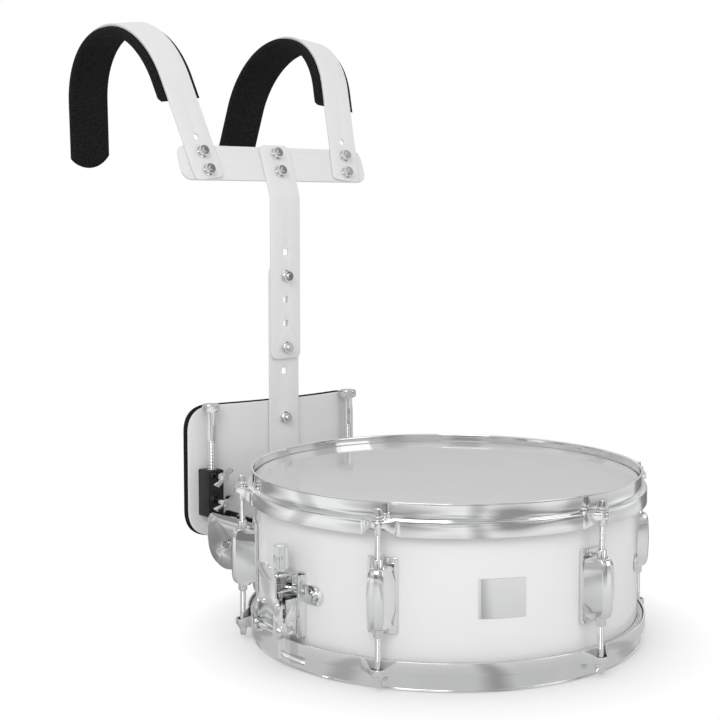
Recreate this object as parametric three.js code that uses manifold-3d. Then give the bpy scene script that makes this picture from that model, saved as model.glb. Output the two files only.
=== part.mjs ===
// A marching snare drum of 14 by 5.5 inches, hung from its shoulder carrier by two hook rods.
// Lengths are in millimetres. +Z is up, -Y points away from the player, and the origin is the
// middle of the batter head's playing face. Heights are first counted from the floor that the
// drum stands on, and the whole model is then lowered by the playing face's height.
import * as THREE from 'three';
import { mergeVertices } from 'three/addons/utils/BufferGeometryUtils.js';
import Module from 'manifold-3d';

const wasm = await Module();
wasm.setup();

// Fits and cuts that every piece shares
const seatGap = 0.3;
const runningGap = 0.4;
const cutOverrun = 2;
const joinLap = 0.4;
const boltRadius = 3;
const boltHoleGap = 0.4;

// Drum shell
const shellRadius = 177.8;
const shellWall = 6;
const shellLength = 139.7;
const shellRoundover = 1.2;
const bearingPeakInset = 1.5;
const ventRadius = 5;
const ventAngle = 30;

// Heads: a film with a collar that is gripped in a flesh hoop
const filmThickness = 0.6;
const collarDrop = 7.6;
const fleshHoopReach = 5.2;
const fleshHoopHeight = 8.1;

// The strainer's place round the drum: its butt plate is opposite
const strainerAngle = -90;

// Triple-flanged hoops
const hoopSheet = 1.6;
const hoopRise = 8.4;
const rimClearance = 0.5;
const lipReach = 1.3;
const lipHeight = 1.2;
const lipRound = 0.8;
const skirtClearance = 0.8;
const skirtLength = 13.9;
const snareSkirtLength = 11.3;
const skirtRound = 0.6;
const earRootHalfWidth = 17;
const earEndRadius = 6.8;
const earFlangeDepth = 5.5;
const gateWidth = 34;
const gateHeight = 6.4;
const gateSill = 5.6;

// Lugs and tension rods
const lugCount = 6;
const rodStandoff = 12.7;
const lugHeight = 64;
const lugCastingHeight = 52;
const lugBaseWidth = 26;
const lugBaseThickness = 2.6;
const lugBaseCorner = 5;
const lugRootWidth = 24;
const lugEndWidth = 19;
const lugFrontWidth = 15;
const lugBodyDepth = 21.5;
const lugFrontBow = 2.6;
const lugShoulder = 4;
const lugNose = 8;
const lugTopReach = 4.6;
const lugBelly = 2.4;
const lugSleeveRadius = 4.2;
const lugSleeveLength = 6.5;
const lugBoreDepth = 15;
const tensionRodRadius = 2.8;
const tensionRodGap = 0.6;
const tensionRodInLug = 12;
const tensionRodTip = 0.7;
const tensionWasherRadius = 5.4;
const tensionWasherThickness = 1.2;
const tensionCollarRadius = 4.3;
const tensionCollarHeight = 2.3;
const tensionHeadWidth = 6.35;
const tensionHeadHeight = 6.3;

// Strainer: bracket, slide, knob, spring, throw-off lever and strap clamp
const strainerSheet = 1.6;
const bracketHalfWidth = 16.2;
const bracketFoot = 31;
const bracketTop = 85.8;
const bracketRailDepth = 9;
const bracketEarReach = 36;
const bracketEarHeight = 68;
const bracketEarHalfHeight = 8;
const bracketScrewSpread = 26;
const bracketScrewHoleRadius = 2.3;
const bracketShelfDepth = 26;
const bracketShelfHalfWidth = 9.5;
const adjustScrewDepth = 14.2;
const adjustScrewRadius = 2.5;
const adjustScrewGap = 0.7;
const adjustScrewReach = 22;
const slideTop = 72;
const slideFoot = 30;
const slideShelfDepth = 25;
const slideCheekTop = 65;
const slideCheekDepth = 20;
const leverPivotDepth = 27.5;
const leverPivotHeight = 40;
const leverPinRadius = 2.7;
const leverPinHeadRadius = 4.6;
const leverPinHeadHeight = 2.2;
const slideLobeRadius = 6;
const leverCheekGap = 0.6;
const leverCheekRadius = 6.8;
const leverCheekTop = 62;
const leverLobeStart = 120;
const leverLobeEnd = 340;
const leverBulge = 6.5;
const leverPlateFoot = 48.5;
const leverShoulderLow = 60;
const leverShoulderHigh = 67;
const leverBendHeight = 82;
const leverTopLength = 17;
const leverWaistHalfWidth = 10.3;
const leverTopHalfWidth = 9.6;
const leverTopCorner = 5;
const leverTopBend = 22;
const knobRadius = 6.6;
const knobHeight = 22;
const knobNeckRadius = 4.4;
const knobNeckHeight = 1.8;
const knobEdge = 0.8;
const springWireRadius = 0.6;
const springMeanRadius = 4.4;
const springTurns = 5;
const strapClampHeight = 10;
const strapClampFoot = 36;
const strapClampDepth = 11;
const strapSlotSlack = 0.35;

// Snare wires, their straps and the butt plate
const strapWidth = 18;
const strapThickness = 0.6;
const strapHeight = 6.2;
const strapStandoff = 11.6;
const strapBend = 2;
const strapBendTurn = 45;
const strapGripLength = 7.5;
const snareStrandCount = 16;
const snareStrandPitch = 3.2;
const snareStrandWidth = 1.8;
const snareEndInset = 37.8;
const snarePlateLength = 12;
const snarePlateThickness = 1.2;
const snarePlateMargin = 2.4;
const buttHalfWidth = 15;
const buttFoot = 30;
const buttHeight = 32;
const buttCorner = 4;
const buttBlockHalfWidth = 12.6;
const buttBlockFoot = 34;
const buttBlockHeight = 14;
const buttBlockLip = 2.6;

// Hanger brackets on the shell, with the cross pins that lie in the hook rods
const hangerAngle = 150;
const hangerSpread = 91;
const hangerSheet = 2.4;
const hangerHalfGap = 8.2;
const hangerTop = 85.5;
const hangerBottom = 34;
const hangerTopCorner = 10;
const hangerBottomCorner = 22;
const hangerFootHalfWidth = 24;
const hangerFootCorner = 6;
const hangerSlotDrop = 28;
const hangerSlotLength = 18;
const hangerSlotRadius = 4.6;
const hangerSlotOffset = 15;
const hangerSlotTilt = 25;
const hangerPinRadius = 5;
const hangerPinHeadRadius = 6.4;
const hangerPinHeadHeight = 1.6;

// Hook rods, clamp blocks and wing screws
const hookRodRadius = 4.75;
const hookRodInset = 7.9;
const hookBendRadius = 27.2;
const hookBendHeight = 59;
const hookTipLength = 16;
const hookHeadRadius = 8.6;
const hookHeadHeight = 8;
const hookRodTop = 186.6;
const clampBlockWidth = 18.4;
const clampBlockStandoff = 69.2;
const clampBlockBottom = 78;
const clampBlockHeight = 48.5;
const clampBlockEdge = 1.6;
const wingScrewRadius = 3;
const wingHeights = [95.5, 121];
const wingStandoff = 10;
const wingHubRadius = 4.6;
const wingHubLength = 8;
const wingSpanRadius = 12.3;
const wingThickness = 2.6;
const wingTipHeight = 7;
const wingTurns = [35, 40];

// Carrier bars
const barSheet = 3;
const barWidth = 38;
const barCorner = 7;
const barStandoff = 69.2;
const upperBarBottom = 236;
const bendHeight = 408;
const chestTilt = 20.8;
const lowerBarTop = 337;
const lowerBarBottom = 92;
const lowerBarCorner = 12;
const settingHoleWidth = 6.5;
const settingHolePitch = 25.3;
const settingHoleBase = 248;
const crossBarHalfLength = 120;
const crossBarWidth = 38;
const crossBarCorner = 13;
const crossBoltPitch = 20;
const crossBarMiddle = 37.5;
const upperBarTopMargin = 1;

// Shoulder bars and their pads
const shoulderSpread = 92;
const shoulderSplay = 8.1;
const shoulderToeIn = 1.6;
const shoulderWidth = 35;
const shoulderCorner = 6;
const shoulderFoot = 19;
const shoulderLegLength = 94;
const shoulderArchRadius = 96;
const shoulderArchTurn = 147.5;
const shoulderTailLength = 66;
const shoulderTailCorner = 12;
const shoulderSpareHole = 27;
const padWidth = 47;
const padThickness = 8;
const padStart = 71;
const padSlant = 5;
const padTail = 75;
const padTailCorner = 15;
const padEdge = 2;

// Belly plate and pad
const bellyWidth = 220;
const bellyHeight = 137;
const bellyBottom = 55;
const bellyCorner = 28;
const bellyCurveRadius = 410;
const bellySheet = 2.5;
const bellyPadThickness = 7;
const bellyPadMargin = 0.8;

// Carriage bolts with washer and nut
const boltHeadRadius = 6.6;
const boltHeadHeight = 3.2;
const boltHeadCrownShare = 0.55;
const washerRadius = 6.2;
const washerThickness = 1.2;
const nutRadius = 5.7;
const nutHeight = 5;
const boltTail = 2.2;

// Facet counts
const roundSides = 48;
const wideSides = 192;
const tubeSides = 10;
const holeSides = 10;
const knobSides = 12;
const rodSides = 8;
const hexSides = 6;
const cornerSteps = 2;
const arcSteps = 4;
const lugSteps = 3;
const archSteps = 10;
const bellySteps = 7;
const hookSteps = 10;
const springSides = 5;
const springSteps = 8;

// Heights that follow from the sizes above, counted from the floor
const shellBottom = hoopRise;
const shellTop = shellBottom + shellLength;
const middleHeight = (shellBottom + shellTop) / 2;
const playingFace = shellTop + seatGap + filmThickness;
const lugSeatRadius = shellRadius + seatGap;
const collarRadius = lugSeatRadius + filmThickness;
const fleshHoopRadius = shellRadius + fleshHoopReach;
const rimInner = collarRadius + rimClearance;
const rimOuter = rimInner + hoopSheet;
const skirtInner = fleshHoopRadius + skirtClearance;
const skirtOuter = skirtInner + hoopSheet;
const ledgeUnder = -collarDrop + seatGap;
const ledgeTop = ledgeUnder + hoopSheet;
const rodCircleRadius = shellRadius + rodStandoff;
const rodAxisOut = rodCircleRadius - lugSeatRadius;
const strapRiseRadius = shellRadius + strapStandoff;
const strapTop = strapClampFoot + strapGripLength;
const snareHalfLength = shellRadius - snareEndInset;
const barFront = shellRadius + barStandoff;
const clampBlockFront = shellRadius + clampBlockStandoff;
const hookRodDepth = clampBlockFront + hookRodInset;

const degrees = (angle) => THREE.MathUtils.degToRad(angle);

// Materials
const finish = (color, roughness, metalness) =>
  new THREE.MeshStandardMaterial({ color, roughness, metalness });
const whiteWrap = finish(0xf4f4f2, 0.18, 0);
const milkyFilm = finish(0xe9ebee, 0.3, 0);
const chrome = finish(0xd4d6d8, 0.12, 1);
const whitePaint = finish(0xf2f3f3, 0.35, 0);
const blackFoam = finish(0x121213, 0.9, 0);
const blackPlastic = finish(0x161617, 0.5, 0);
const steelWire = finish(0xb9bbbd, 0.3, 1);
const nylonTape = finish(0xdfe0df, 0.6, 0);

// A closed geometry as a solid: vertices merged, empty triangles dropped, faces turned outwards
function solid(geometry) {
  const bare = geometry.clone();
  bare.deleteAttribute('normal');
  bare.deleteAttribute('uv');
  const merged = mergeVertices(bare);
  const corners = Array.from(merged.index.array);
  const kept = [];
  for (let i = 0; i < corners.length; i += 3) {
    const [a, b, c] = corners.slice(i, i + 3);
    if (a !== b && b !== c && c !== a) kept.push(a, b, c);
  }
  if (signedVolume(merged.attributes.position, kept) < 0) kept.reverse();
  const mesh = new wasm.Mesh({
    numProp: 3,
    vertProperties: Float32Array.from(merged.attributes.position.array),
    triVerts: Uint32Array.from(kept),
  });
  return new wasm.Manifold(mesh);
}

function signedVolume(position, corners) {
  const [p, q, r] = [new THREE.Vector3(), new THREE.Vector3(), new THREE.Vector3()];
  let sum = 0;
  for (let i = 0; i < corners.length; i += 3) {
    p.fromBufferAttribute(position, corners[i]);
    q.fromBufferAttribute(position, corners[i + 1]);
    r.fromBufferAttribute(position, corners[i + 2]);
    sum += p.dot(q.cross(r));
  }
  return sum;
}

const join = (first, ...others) => others.reduce((sum, next) => sum.add(next), first);
const cut = (first, ...others) => others.reduce((rest, next) => rest.subtract(next), first);

function geometryOf(body) {
  const result = body.getMesh();
  const geometry = new THREE.BufferGeometry();
  const points = new Float32Array(result.numVert * 3);
  for (let i = 0; i < result.numVert; i += 1) {
    const start = result.numProp * i;
    for (let axis = 0; axis < 3; axis += 1) points[3 * i + axis] = result.vertProperties[start + axis];
  }
  geometry.setAttribute('position', new THREE.BufferAttribute(points, 3));
  geometry.setIndex(Array.from(result.triVerts));
  return geometry;
}

const moved = (body, matrix) => solid(geometryOf(body).applyMatrix4(matrix));

function piece(name, body, material) {
  const geometry = geometryOf(body);
  geometry.computeVertexNormals();
  const mesh = new THREE.Mesh(geometry, material);
  mesh.name = name;
  return mesh;
}

// Axes that carry an outline drawn in a plane and the direction of its thickness
const axisX = new THREE.Vector3(1, 0, 0);
const axisY = new THREE.Vector3(0, 1, 0);
const axisZ = new THREE.Vector3(0, 0, 1);
const drawnSide = new THREE.Matrix4().makeBasis(axisY, axisZ, axisX);
const drawnFront = new THREE.Matrix4().makeBasis(axisX, axisZ, axisY.clone().negate());
const lathed = new THREE.Matrix4().makeBasis(axisX, axisZ, axisY.clone().negate());

const thick = (outline, depth, curveSegments) =>
  new THREE.ExtrudeGeometry(outline, { depth, bevelEnabled: false, curveSegments });

// An outline made thick: drawn in (Y, Z) and thick along X from its first X
function sidePlate(outline, start, thickness, segments = cornerSteps) {
  return solid(thick(outline, thickness, segments).applyMatrix4(drawnSide).translate(start, 0, 0));
}

// Drawn in (X, Z) and thick along Y, its front face at the given Y
function frontPlate(outline, front, thickness, segments = cornerSteps) {
  const geometry = thick(outline, thickness, segments).applyMatrix4(drawnFront);
  return solid(geometry.translate(0, front + thickness, 0));
}

// Drawn in (X, Y) and thick along Z from the given height
function flatPlate(outline, bottom, thickness, segments = cornerSteps) {
  return solid(thick(outline, thickness, segments).translate(0, 0, bottom));
}

function block(x, y, z) {
  const geometry = new THREE.BoxGeometry(x[1] - x[0], y[1] - y[0], z[1] - z[0]);
  return solid(geometry.translate((x[0] + x[1]) / 2, (y[0] + y[1]) / 2, (z[0] + z[1]) / 2));
}

// A round bar between two points, with its facets' corners at the given radius
function bar(from, to, radius, sides = rodSides, endRadius = radius) {
  const span = new THREE.Vector3().subVectors(to, from);
  const geometry = new THREE.CylinderGeometry(endRadius, radius, span.length(), sides);
  geometry.applyQuaternion(new THREE.Quaternion().setFromUnitVectors(axisY, span.normalize()));
  const middle = new THREE.Vector3().addVectors(from, to).multiplyScalar(0.5);
  return solid(geometry.translate(middle.x, middle.y, middle.z));
}

const point = (x, y, z) => new THREE.Vector3(x, y, z);

// A turned solid: radius and height pairs, which start and end on the axis or close on themselves
function turned(profile, sides = roundSides) {
  const points = profile.map(([radius, height]) => new THREE.Vector2(radius, height));
  return solid(new THREE.LatheGeometry(points, sides).applyMatrix4(lathed));
}

const ring = (inner, outer, bottom, top) =>
  turned([[inner, bottom], [outer, bottom], [outer, top], [inner, top], [inner, bottom]]);

function polygon(points) {
  const shape = new THREE.Shape();
  shape.moveTo(...points[0]);
  for (const next of points.slice(1)) shape.lineTo(...next);
  return shape;
}

function roundedBox(left, right, bottom, top, corner) {
  const shape = new THREE.Shape();
  const quarter = Math.PI / 2;
  shape.absarc(right - corner, bottom + corner, corner, -quarter, 0);
  shape.absarc(right - corner, top - corner, corner, 0, quarter);
  shape.absarc(left + corner, top - corner, corner, quarter, 2 * quarter);
  shape.absarc(left + corner, bottom + corner, corner, 2 * quarter, 3 * quarter);
  return shape;
}

// A hole whose flats stand at its radius, so that a round bolt passes
function roundHole(x, y, radius) {
  const hole = new THREE.Path();
  const corner = radius / Math.cos(Math.PI / holeSides);
  for (let i = 0; i < holeSides; i += 1) {
    const turn = (-2 * Math.PI * i) / holeSides;
    const next = [x + corner * Math.cos(turn), y + corner * Math.sin(turn)];
    if (i === 0) hole.moveTo(...next);
    else hole.lineTo(...next);
  }
  return hole;
}

function squareHole(x, y, width) {
  const half = width / 2;
  const hole = new THREE.Path();
  hole.moveTo(x - half, y - half);
  hole.lineTo(x - half, y + half);
  hole.lineTo(x + half, y + half);
  hole.lineTo(x + half, y - half);
  return hole;
}

// Sheet that hugs the shell: an outline in (tangent, height), at the +X side of the drum
function hugging(outline, inner, sheet) {
  const slab = sidePlate(outline, shellRadius - shellWall, 2 * shellWall);
  return slab.intersect(ring(inner, inner + sheet, -cutOverrun, shellTop));
}

// Angles round the drum are counted from the front towards +X. A piece that sits on the drum's
// wall is drawn at the +X side and turned from there.
const turnTo = (angle) => degrees(angle) - Math.PI / 2;
const swung = (body, angle) => moved(body, new THREE.Matrix4().makeRotationZ(turnTo(angle)));

const shift = (x, y, z) => new THREE.Matrix4().makeTranslation(x, y, z);

// Drum body
function shell() {
  const bevel = shellWall - bearingPeakInset;
  const peak = shellRadius - bearingPeakInset;
  const inner = shellRadius - shellWall;
  const profile = [
    [shellRadius, shellBottom + shellRoundover],
    [shellRadius, shellTop - shellRoundover],
    [peak, shellTop],
    [inner, shellTop - bevel],
    [inner, shellBottom + bevel],
    [peak, shellBottom],
    [shellRadius, shellBottom + shellRoundover],
  ];
  const vent = bar(
    point(inner - cutOverrun, 0, middleHeight),
    point(shellRadius + cutOverrun, 0, middleHeight),
    ventRadius,
    holeSides,
  );
  return cut(turned(profile), swung(vent, ventAngle));
}

// A head lies over the bearing edge: heights are counted from the edge, outwards from the drum
function head(away) {
  const face = seatGap + filmThickness;
  const profile = [
    [0, seatGap],
    [lugSeatRadius, seatGap],
    [lugSeatRadius, -collarDrop - fleshHoopHeight],
    [fleshHoopRadius, -collarDrop - fleshHoopHeight],
    [fleshHoopRadius, -collarDrop],
    [collarRadius, -collarDrop],
    [collarRadius, face],
    [0, face],
  ];
  return turned(profile.map(([radius, height]) => [radius, away(height)]));
}

const aboveDrum = (height) => shellTop + height;
const belowDrum = (height) => shellBottom - height;

// The plan of an ear. Drawn in by the sheet, it is the hollow inside the ear's flange.
function earPlan(root, inset) {
  const outline = new THREE.Shape();
  const swing = Math.atan2(earRootHalfWidth - earEndRadius, rodCircleRadius - skirtInner);
  const open = Math.PI / 2 - swing;
  outline.moveTo(root, earRootHalfWidth - inset);
  outline.lineTo(root, -earRootHalfWidth + inset);
  outline.absarc(rodCircleRadius, 0, earEndRadius - inset, -open, open);
  return outline;
}

// The skirt runs on round the ear, and its lower edge rises towards the ear's tip
function hoopEar(away, length) {
  const skirtEnd = ledgeTop - length;
  const low = Math.min(away(skirtEnd), away(ledgeTop));
  const plan = earPlan(skirtInner, 0);
  plan.holes.push(roundHole(rodCircleRadius, 0, tensionRodRadius + tensionRodGap));
  const tip = rodCircleRadius + earEndRadius + cutOverrun;
  const rise = polygon([
    [skirtInner, away(skirtEnd)],
    [tip, away(ledgeTop - earFlangeDepth)],
    [tip, away(ledgeTop + cutOverrun)],
    [skirtInner, away(ledgeTop + cutOverrun)],
  ]);
  const keep = frontPlate(rise, -earRootHalfWidth - cutOverrun, 2 * (earRootHalfWidth + cutOverrun));
  return flatPlate(plan, low, length, arcSteps).intersect(keep);
}

function earHollow(away, length) {
  const from = away(ledgeTop - length - cutOverrun);
  const to = away(ledgeUnder);
  const plan = earPlan(skirtInner - rimClearance, hoopSheet);
  return flatPlate(plan, Math.min(from, to), Math.abs(to - from), arcSteps);
}

function hoop(away, length) {
  const skirtEnd = ledgeTop - length;
  const lipOuter = rimOuter + lipReach;
  const profile = [
    [rimInner, ledgeUnder],
    [rimInner, hoopRise - lipRound],
    [rimInner + lipRound, hoopRise],
    [lipOuter, hoopRise],
    [lipOuter, hoopRise - lipHeight],
    [rimOuter, hoopRise - lipHeight - lipReach],
    [rimOuter, ledgeTop],
    [skirtOuter - skirtRound, ledgeTop],
    [skirtOuter, ledgeTop - skirtRound],
    [skirtOuter, skirtEnd],
    [skirtInner, skirtEnd],
    [skirtInner, ledgeUnder],
    [rimInner, ledgeUnder],
  ];
  let body = turned(profile.map(([radius, height]) => [radius, away(height)]));
  for (let i = 0; i < lugCount; i += 1) {
    const angle = (360 / lugCount) * i;
    body = body.add(swung(hoopEar(away, length), angle));
    body = body.subtract(swung(earHollow(away, length), angle));
  }
  return body;
}

function snareSideHoop() {
  const gate = block(
    [rimInner - cutOverrun, rimOuter + cutOverrun],
    [-gateWidth / 2, gateWidth / 2],
    [gateSill, gateSill + gateHeight],
  );
  return cut(hoop(belowDrum, snareSkirtLength), swung(gate, strainerAngle), swung(gate, -strainerAngle));
}

// A lug stands off the shell; its outline is drawn in (distance from the shell, height)
function lug() {
  const footHalf = lugHeight / 2;
  const half = lugCastingHeight / 2;
  const base = hugging(
    roundedBox(
      -lugBaseWidth / 2,
      lugBaseWidth / 2,
      middleHeight - footHalf,
      middleHeight + footHalf,
      lugBaseCorner,
    ),
    lugSeatRadius,
    lugBaseThickness,
  );
  const near = rodAxisOut - lugTopReach;
  const far = rodAxisOut + lugTopReach;
  const root = lugBaseThickness / 2;
  const profile = new THREE.Shape();
  profile.moveTo(root, -half + lugShoulder);
  profile.lineTo(near, -half);
  profile.lineTo(far, -half);
  profile.quadraticCurveTo(lugBodyDepth, -half, lugBodyDepth, -half + lugNose);
  profile.quadraticCurveTo(lugBodyDepth + lugBelly, 0, lugBodyDepth, half - lugNose);
  profile.quadraticCurveTo(lugBodyDepth, half, far, half);
  profile.lineTo(near, half);
  profile.lineTo(root, half - lugShoulder);
  const side = frontPlate(profile, -lugRootWidth / 2, lugRootWidth, lugSteps);
  const plan = new THREE.Shape();
  const edge = lugBodyDepth - lugFrontBow;
  plan.moveTo(root, -lugRootWidth / 2);
  plan.lineTo(edge, -lugFrontWidth / 2);
  plan.quadraticCurveTo(lugBodyDepth + lugBelly + lugFrontBow, 0, edge, lugFrontWidth / 2);
  plan.lineTo(root, lugRootWidth / 2);
  const wedge = flatPlate(plan, -half, lugCastingHeight, lugSteps);
  const face = new THREE.Shape();
  face.moveTo(-lugEndWidth / 2, -half);
  face.lineTo(lugEndWidth / 2, -half);
  face.quadraticCurveTo(lugRootWidth - lugEndWidth / 2, 0, lugEndWidth / 2, half);
  face.lineTo(-lugEndWidth / 2, half);
  face.quadraticCurveTo(lugEndWidth / 2 - lugRootWidth, 0, -lugEndWidth / 2, -half);
  const front = sidePlate(face, 0, lugBodyDepth + lugBelly, lugSteps);
  const body = moved(side.intersect(wedge).intersect(front), shift(lugSeatRadius, 0, middleHeight));
  const sleeve = (up) =>
    bar(
      point(rodCircleRadius, 0, middleHeight + up * (half - lugNose)),
      point(rodCircleRadius, 0, middleHeight + up * (half + lugSleeveLength)),
      lugSleeveRadius,
      tubeSides,
    );
  const bore = (up) =>
    bar(
      point(rodCircleRadius, 0, middleHeight + up * (half - lugBoreDepth)),
      point(rodCircleRadius, 0, middleHeight + up * (half + lugSleeveLength + cutOverrun)),
      tensionRodRadius + tensionRodGap,
      holeSides,
    );
  return cut(join(base, body, sleeve(1), sleeve(-1)), bore(1), bore(-1));
}

// A tension rod hangs from the ear's upper face, its washer one seat gap above it. Its heights are
// counted from the drum's middle, about which the lower rods are turned over.
function tensionRod() {
  const seat = shellLength / 2 + ledgeTop + seatGap;
  const end = lugHeight / 2 - tensionRodInLug;
  const collarTop = seat + tensionWasherThickness + tensionCollarHeight;
  const profile = [
    [0, end],
    [tensionRodRadius - tensionRodTip, end],
    [tensionRodRadius, end + tensionRodTip],
    [tensionRodRadius, seat],
    [tensionWasherRadius, seat],
    [tensionWasherRadius, seat + tensionWasherThickness],
    [tensionCollarRadius, seat + tensionWasherThickness],
    [tensionCollarRadius, collarTop],
    [0, collarTop],
  ];
  const half = tensionHeadWidth / 2;
  const key = block([-half, half], [-half, half], [collarTop - joinLap, collarTop + tensionHeadHeight]);
  return turned(profile, rodSides).add(key);
}

// Strainer pieces, all built at the drum's +X side
const screwRadiusOut = shellRadius + adjustScrewDepth;
const pivotOut = shellRadius + leverPivotDepth;
const bracketFace = lugSeatRadius + strainerSheet;
const slideBack = bracketFace + runningGap;
const railInner = bracketHalfWidth - strainerSheet;
const slideHalfWidth = railInner - runningGap;
const slideCheekInner = slideHalfWidth - strainerSheet;
const shelfUnder = bracketTop - strainerSheet;

function strainerBracket() {
  const plate = roundedBox(-bracketHalfWidth, bracketHalfWidth, bracketFoot, bracketTop, strainerSheet);
  const ears = roundedBox(
    -bracketEarReach,
    bracketEarReach,
    bracketEarHeight - bracketEarHalfHeight,
    bracketEarHeight + bracketEarHalfHeight,
    bracketEarHalfHeight,
  );
  for (const side of [-1, 1]) {
    ears.holes.push(roundHole(side * bracketScrewSpread, bracketEarHeight, bracketScrewHoleRadius));
  }
  const rail = (side) =>
    block(
      [lugSeatRadius + joinLap, shellRadius + bracketRailDepth],
      side > 0 ? [railInner, bracketHalfWidth] : [-bracketHalfWidth, -railInner],
      [bracketFoot, bracketTop - strainerSheet],
    );
  const shelf = block(
    [lugSeatRadius + joinLap, shellRadius + bracketShelfDepth],
    [-bracketShelfHalfWidth, bracketShelfHalfWidth],
    [shelfUnder, bracketTop],
  );
  const hole = bar(
    point(screwRadiusOut, 0, shelfUnder - cutOverrun),
    point(screwRadiusOut, 0, bracketTop + cutOverrun),
    adjustScrewRadius + adjustScrewGap,
    holeSides,
  );
  const sheet = hugging(plate, lugSeatRadius, strainerSheet).add(hugging(ears, lugSeatRadius, strainerSheet));
  return cut(join(sheet, rail(1), rail(-1), shelf), hole);
}

function strainerSlide() {
  const back = block(
    [slideBack, slideBack + strainerSheet],
    [-slideHalfWidth, slideHalfWidth],
    [slideFoot, slideTop],
  );
  const shelf = block(
    [slideBack, shellRadius + slideShelfDepth],
    [-bracketShelfHalfWidth, bracketShelfHalfWidth],
    [slideTop - strainerSheet, slideTop],
  );
  const outline = new THREE.Shape();
  const front = shellRadius + slideCheekDepth;
  outline.moveTo(slideBack, slideCheekTop);
  outline.lineTo(slideBack, leverPivotHeight - slideLobeRadius);
  outline.absarc(pivotOut, leverPivotHeight, slideLobeRadius, -Math.PI / 2, Math.PI / 2);
  outline.lineTo(front, leverPivotHeight + slideLobeRadius);
  outline.lineTo(front, slideCheekTop);
  outline.holes.push(roundHole(pivotOut, leverPivotHeight, leverPinRadius + boltHoleGap));
  const cheek = (start) => frontPlate(outline, start, strainerSheet, arcSteps);
  const hole = bar(
    point(screwRadiusOut, 0, slideTop - strainerSheet - cutOverrun),
    point(screwRadiusOut, 0, slideTop + cutOverrun),
    adjustScrewRadius + adjustScrewGap,
    holeSides,
  );
  return cut(join(back, shelf, cheek(slideCheekInner), cheek(-slideHalfWidth)), hole);
}

function strainerKnob() {
  const seat = bracketTop + seatGap;
  const bodyBottom = seat + knobNeckHeight;
  const bodyTop = bodyBottom + knobHeight;
  const profile = [
    [0, seat - adjustScrewReach],
    [adjustScrewRadius, seat - adjustScrewReach],
    [adjustScrewRadius, seat],
    [knobNeckRadius, seat],
    [knobNeckRadius, bodyBottom],
    [knobRadius, bodyBottom],
    [knobRadius, bodyTop - knobEdge],
    [knobRadius - knobEdge, bodyTop],
    [0, bodyTop],
  ];
  return turned(profile, knobSides);
}

// One unbroken tube: a straight end, the curls, and a straight end
function strainerSpring() {
  const steps = springSteps;
  const bottom = slideTop + seatGap;
  const top = shelfUnder - seatGap;
  const tail = 2 * springWireRadius;
  const low = bottom + tail;
  const rise = top - bottom - 2 * tail;
  const count = springTurns * steps;
  const rings = [];
  const ringAt = (centre, along) => {
    const outward = point(centre.x, centre.y, 0).normalize();
    const up = new THREE.Vector3().crossVectors(along, outward).normalize();
    return Array.from({ length: springSides }, (_, k) => {
      const turn = (2 * Math.PI * k) / springSides;
      return centre
        .clone()
        .addScaledVector(outward, springWireRadius * Math.cos(turn))
        .addScaledVector(up, springWireRadius * Math.sin(turn));
    });
  };
  const centreAt = (i) => {
    const turn = (2 * Math.PI * i) / steps;
    const height = low + (rise * i) / count;
    return point(springMeanRadius * Math.cos(turn), springMeanRadius * Math.sin(turn), height);
  };
  const first = centreAt(0);
  const last = centreAt(count);
  rings.push(ringAt(point(first.x, first.y, bottom), axisZ));
  for (let i = 0; i <= count; i += 1) {
    const before = centreAt(Math.max(i - 1, 0));
    const after = centreAt(Math.min(i + 1, count));
    const along = after.sub(before).normalize();
    if (i === 0 || i === count) along.add(axisZ).normalize();
    rings.push(ringAt(centreAt(i), along));
  }
  rings.push(ringAt(point(last.x, last.y, top), axisZ));
  console.log(`strainer_spring least gap to itself ${leastCurlGap(rings, steps).toFixed(2)} mm`);
  return tubeOfRings(rings);
}

function tubeOfRings(rings) {
  const sides = rings[0].length;
  const points = rings.flat().flatMap((corner) => [corner.x, corner.y, corner.z]);
  const corners = [];
  for (let i = 0; i + 1 < rings.length; i += 1) {
    for (let k = 0; k < sides; k += 1) {
      const next = (k + 1) % sides;
      const [a, b] = [i * sides + k, i * sides + next];
      corners.push(a, b, b + sides, a, b + sides, a + sides);
    }
  }
  const end = (rings.length - 1) * sides;
  for (let k = 1; k + 1 < sides; k += 1) {
    corners.push(0, k + 1, k);
    corners.push(end, end + k, end + k + 1);
  }
  const geometry = new THREE.BufferGeometry();
  geometry.setAttribute('position', new THREE.BufferAttribute(Float32Array.from(points), 3));
  geometry.setIndex(corners);
  return solid(geometry);
}

function leastCurlGap(rings, steps) {
  let least = Infinity;
  for (let i = 0; i < rings.length; i += 1) {
    for (let j = i + steps / 2; j < rings.length; j += 1) {
      for (const a of rings[i]) for (const b of rings[j]) least = Math.min(least, a.distanceTo(b));
    }
  }
  return least;
}

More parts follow.
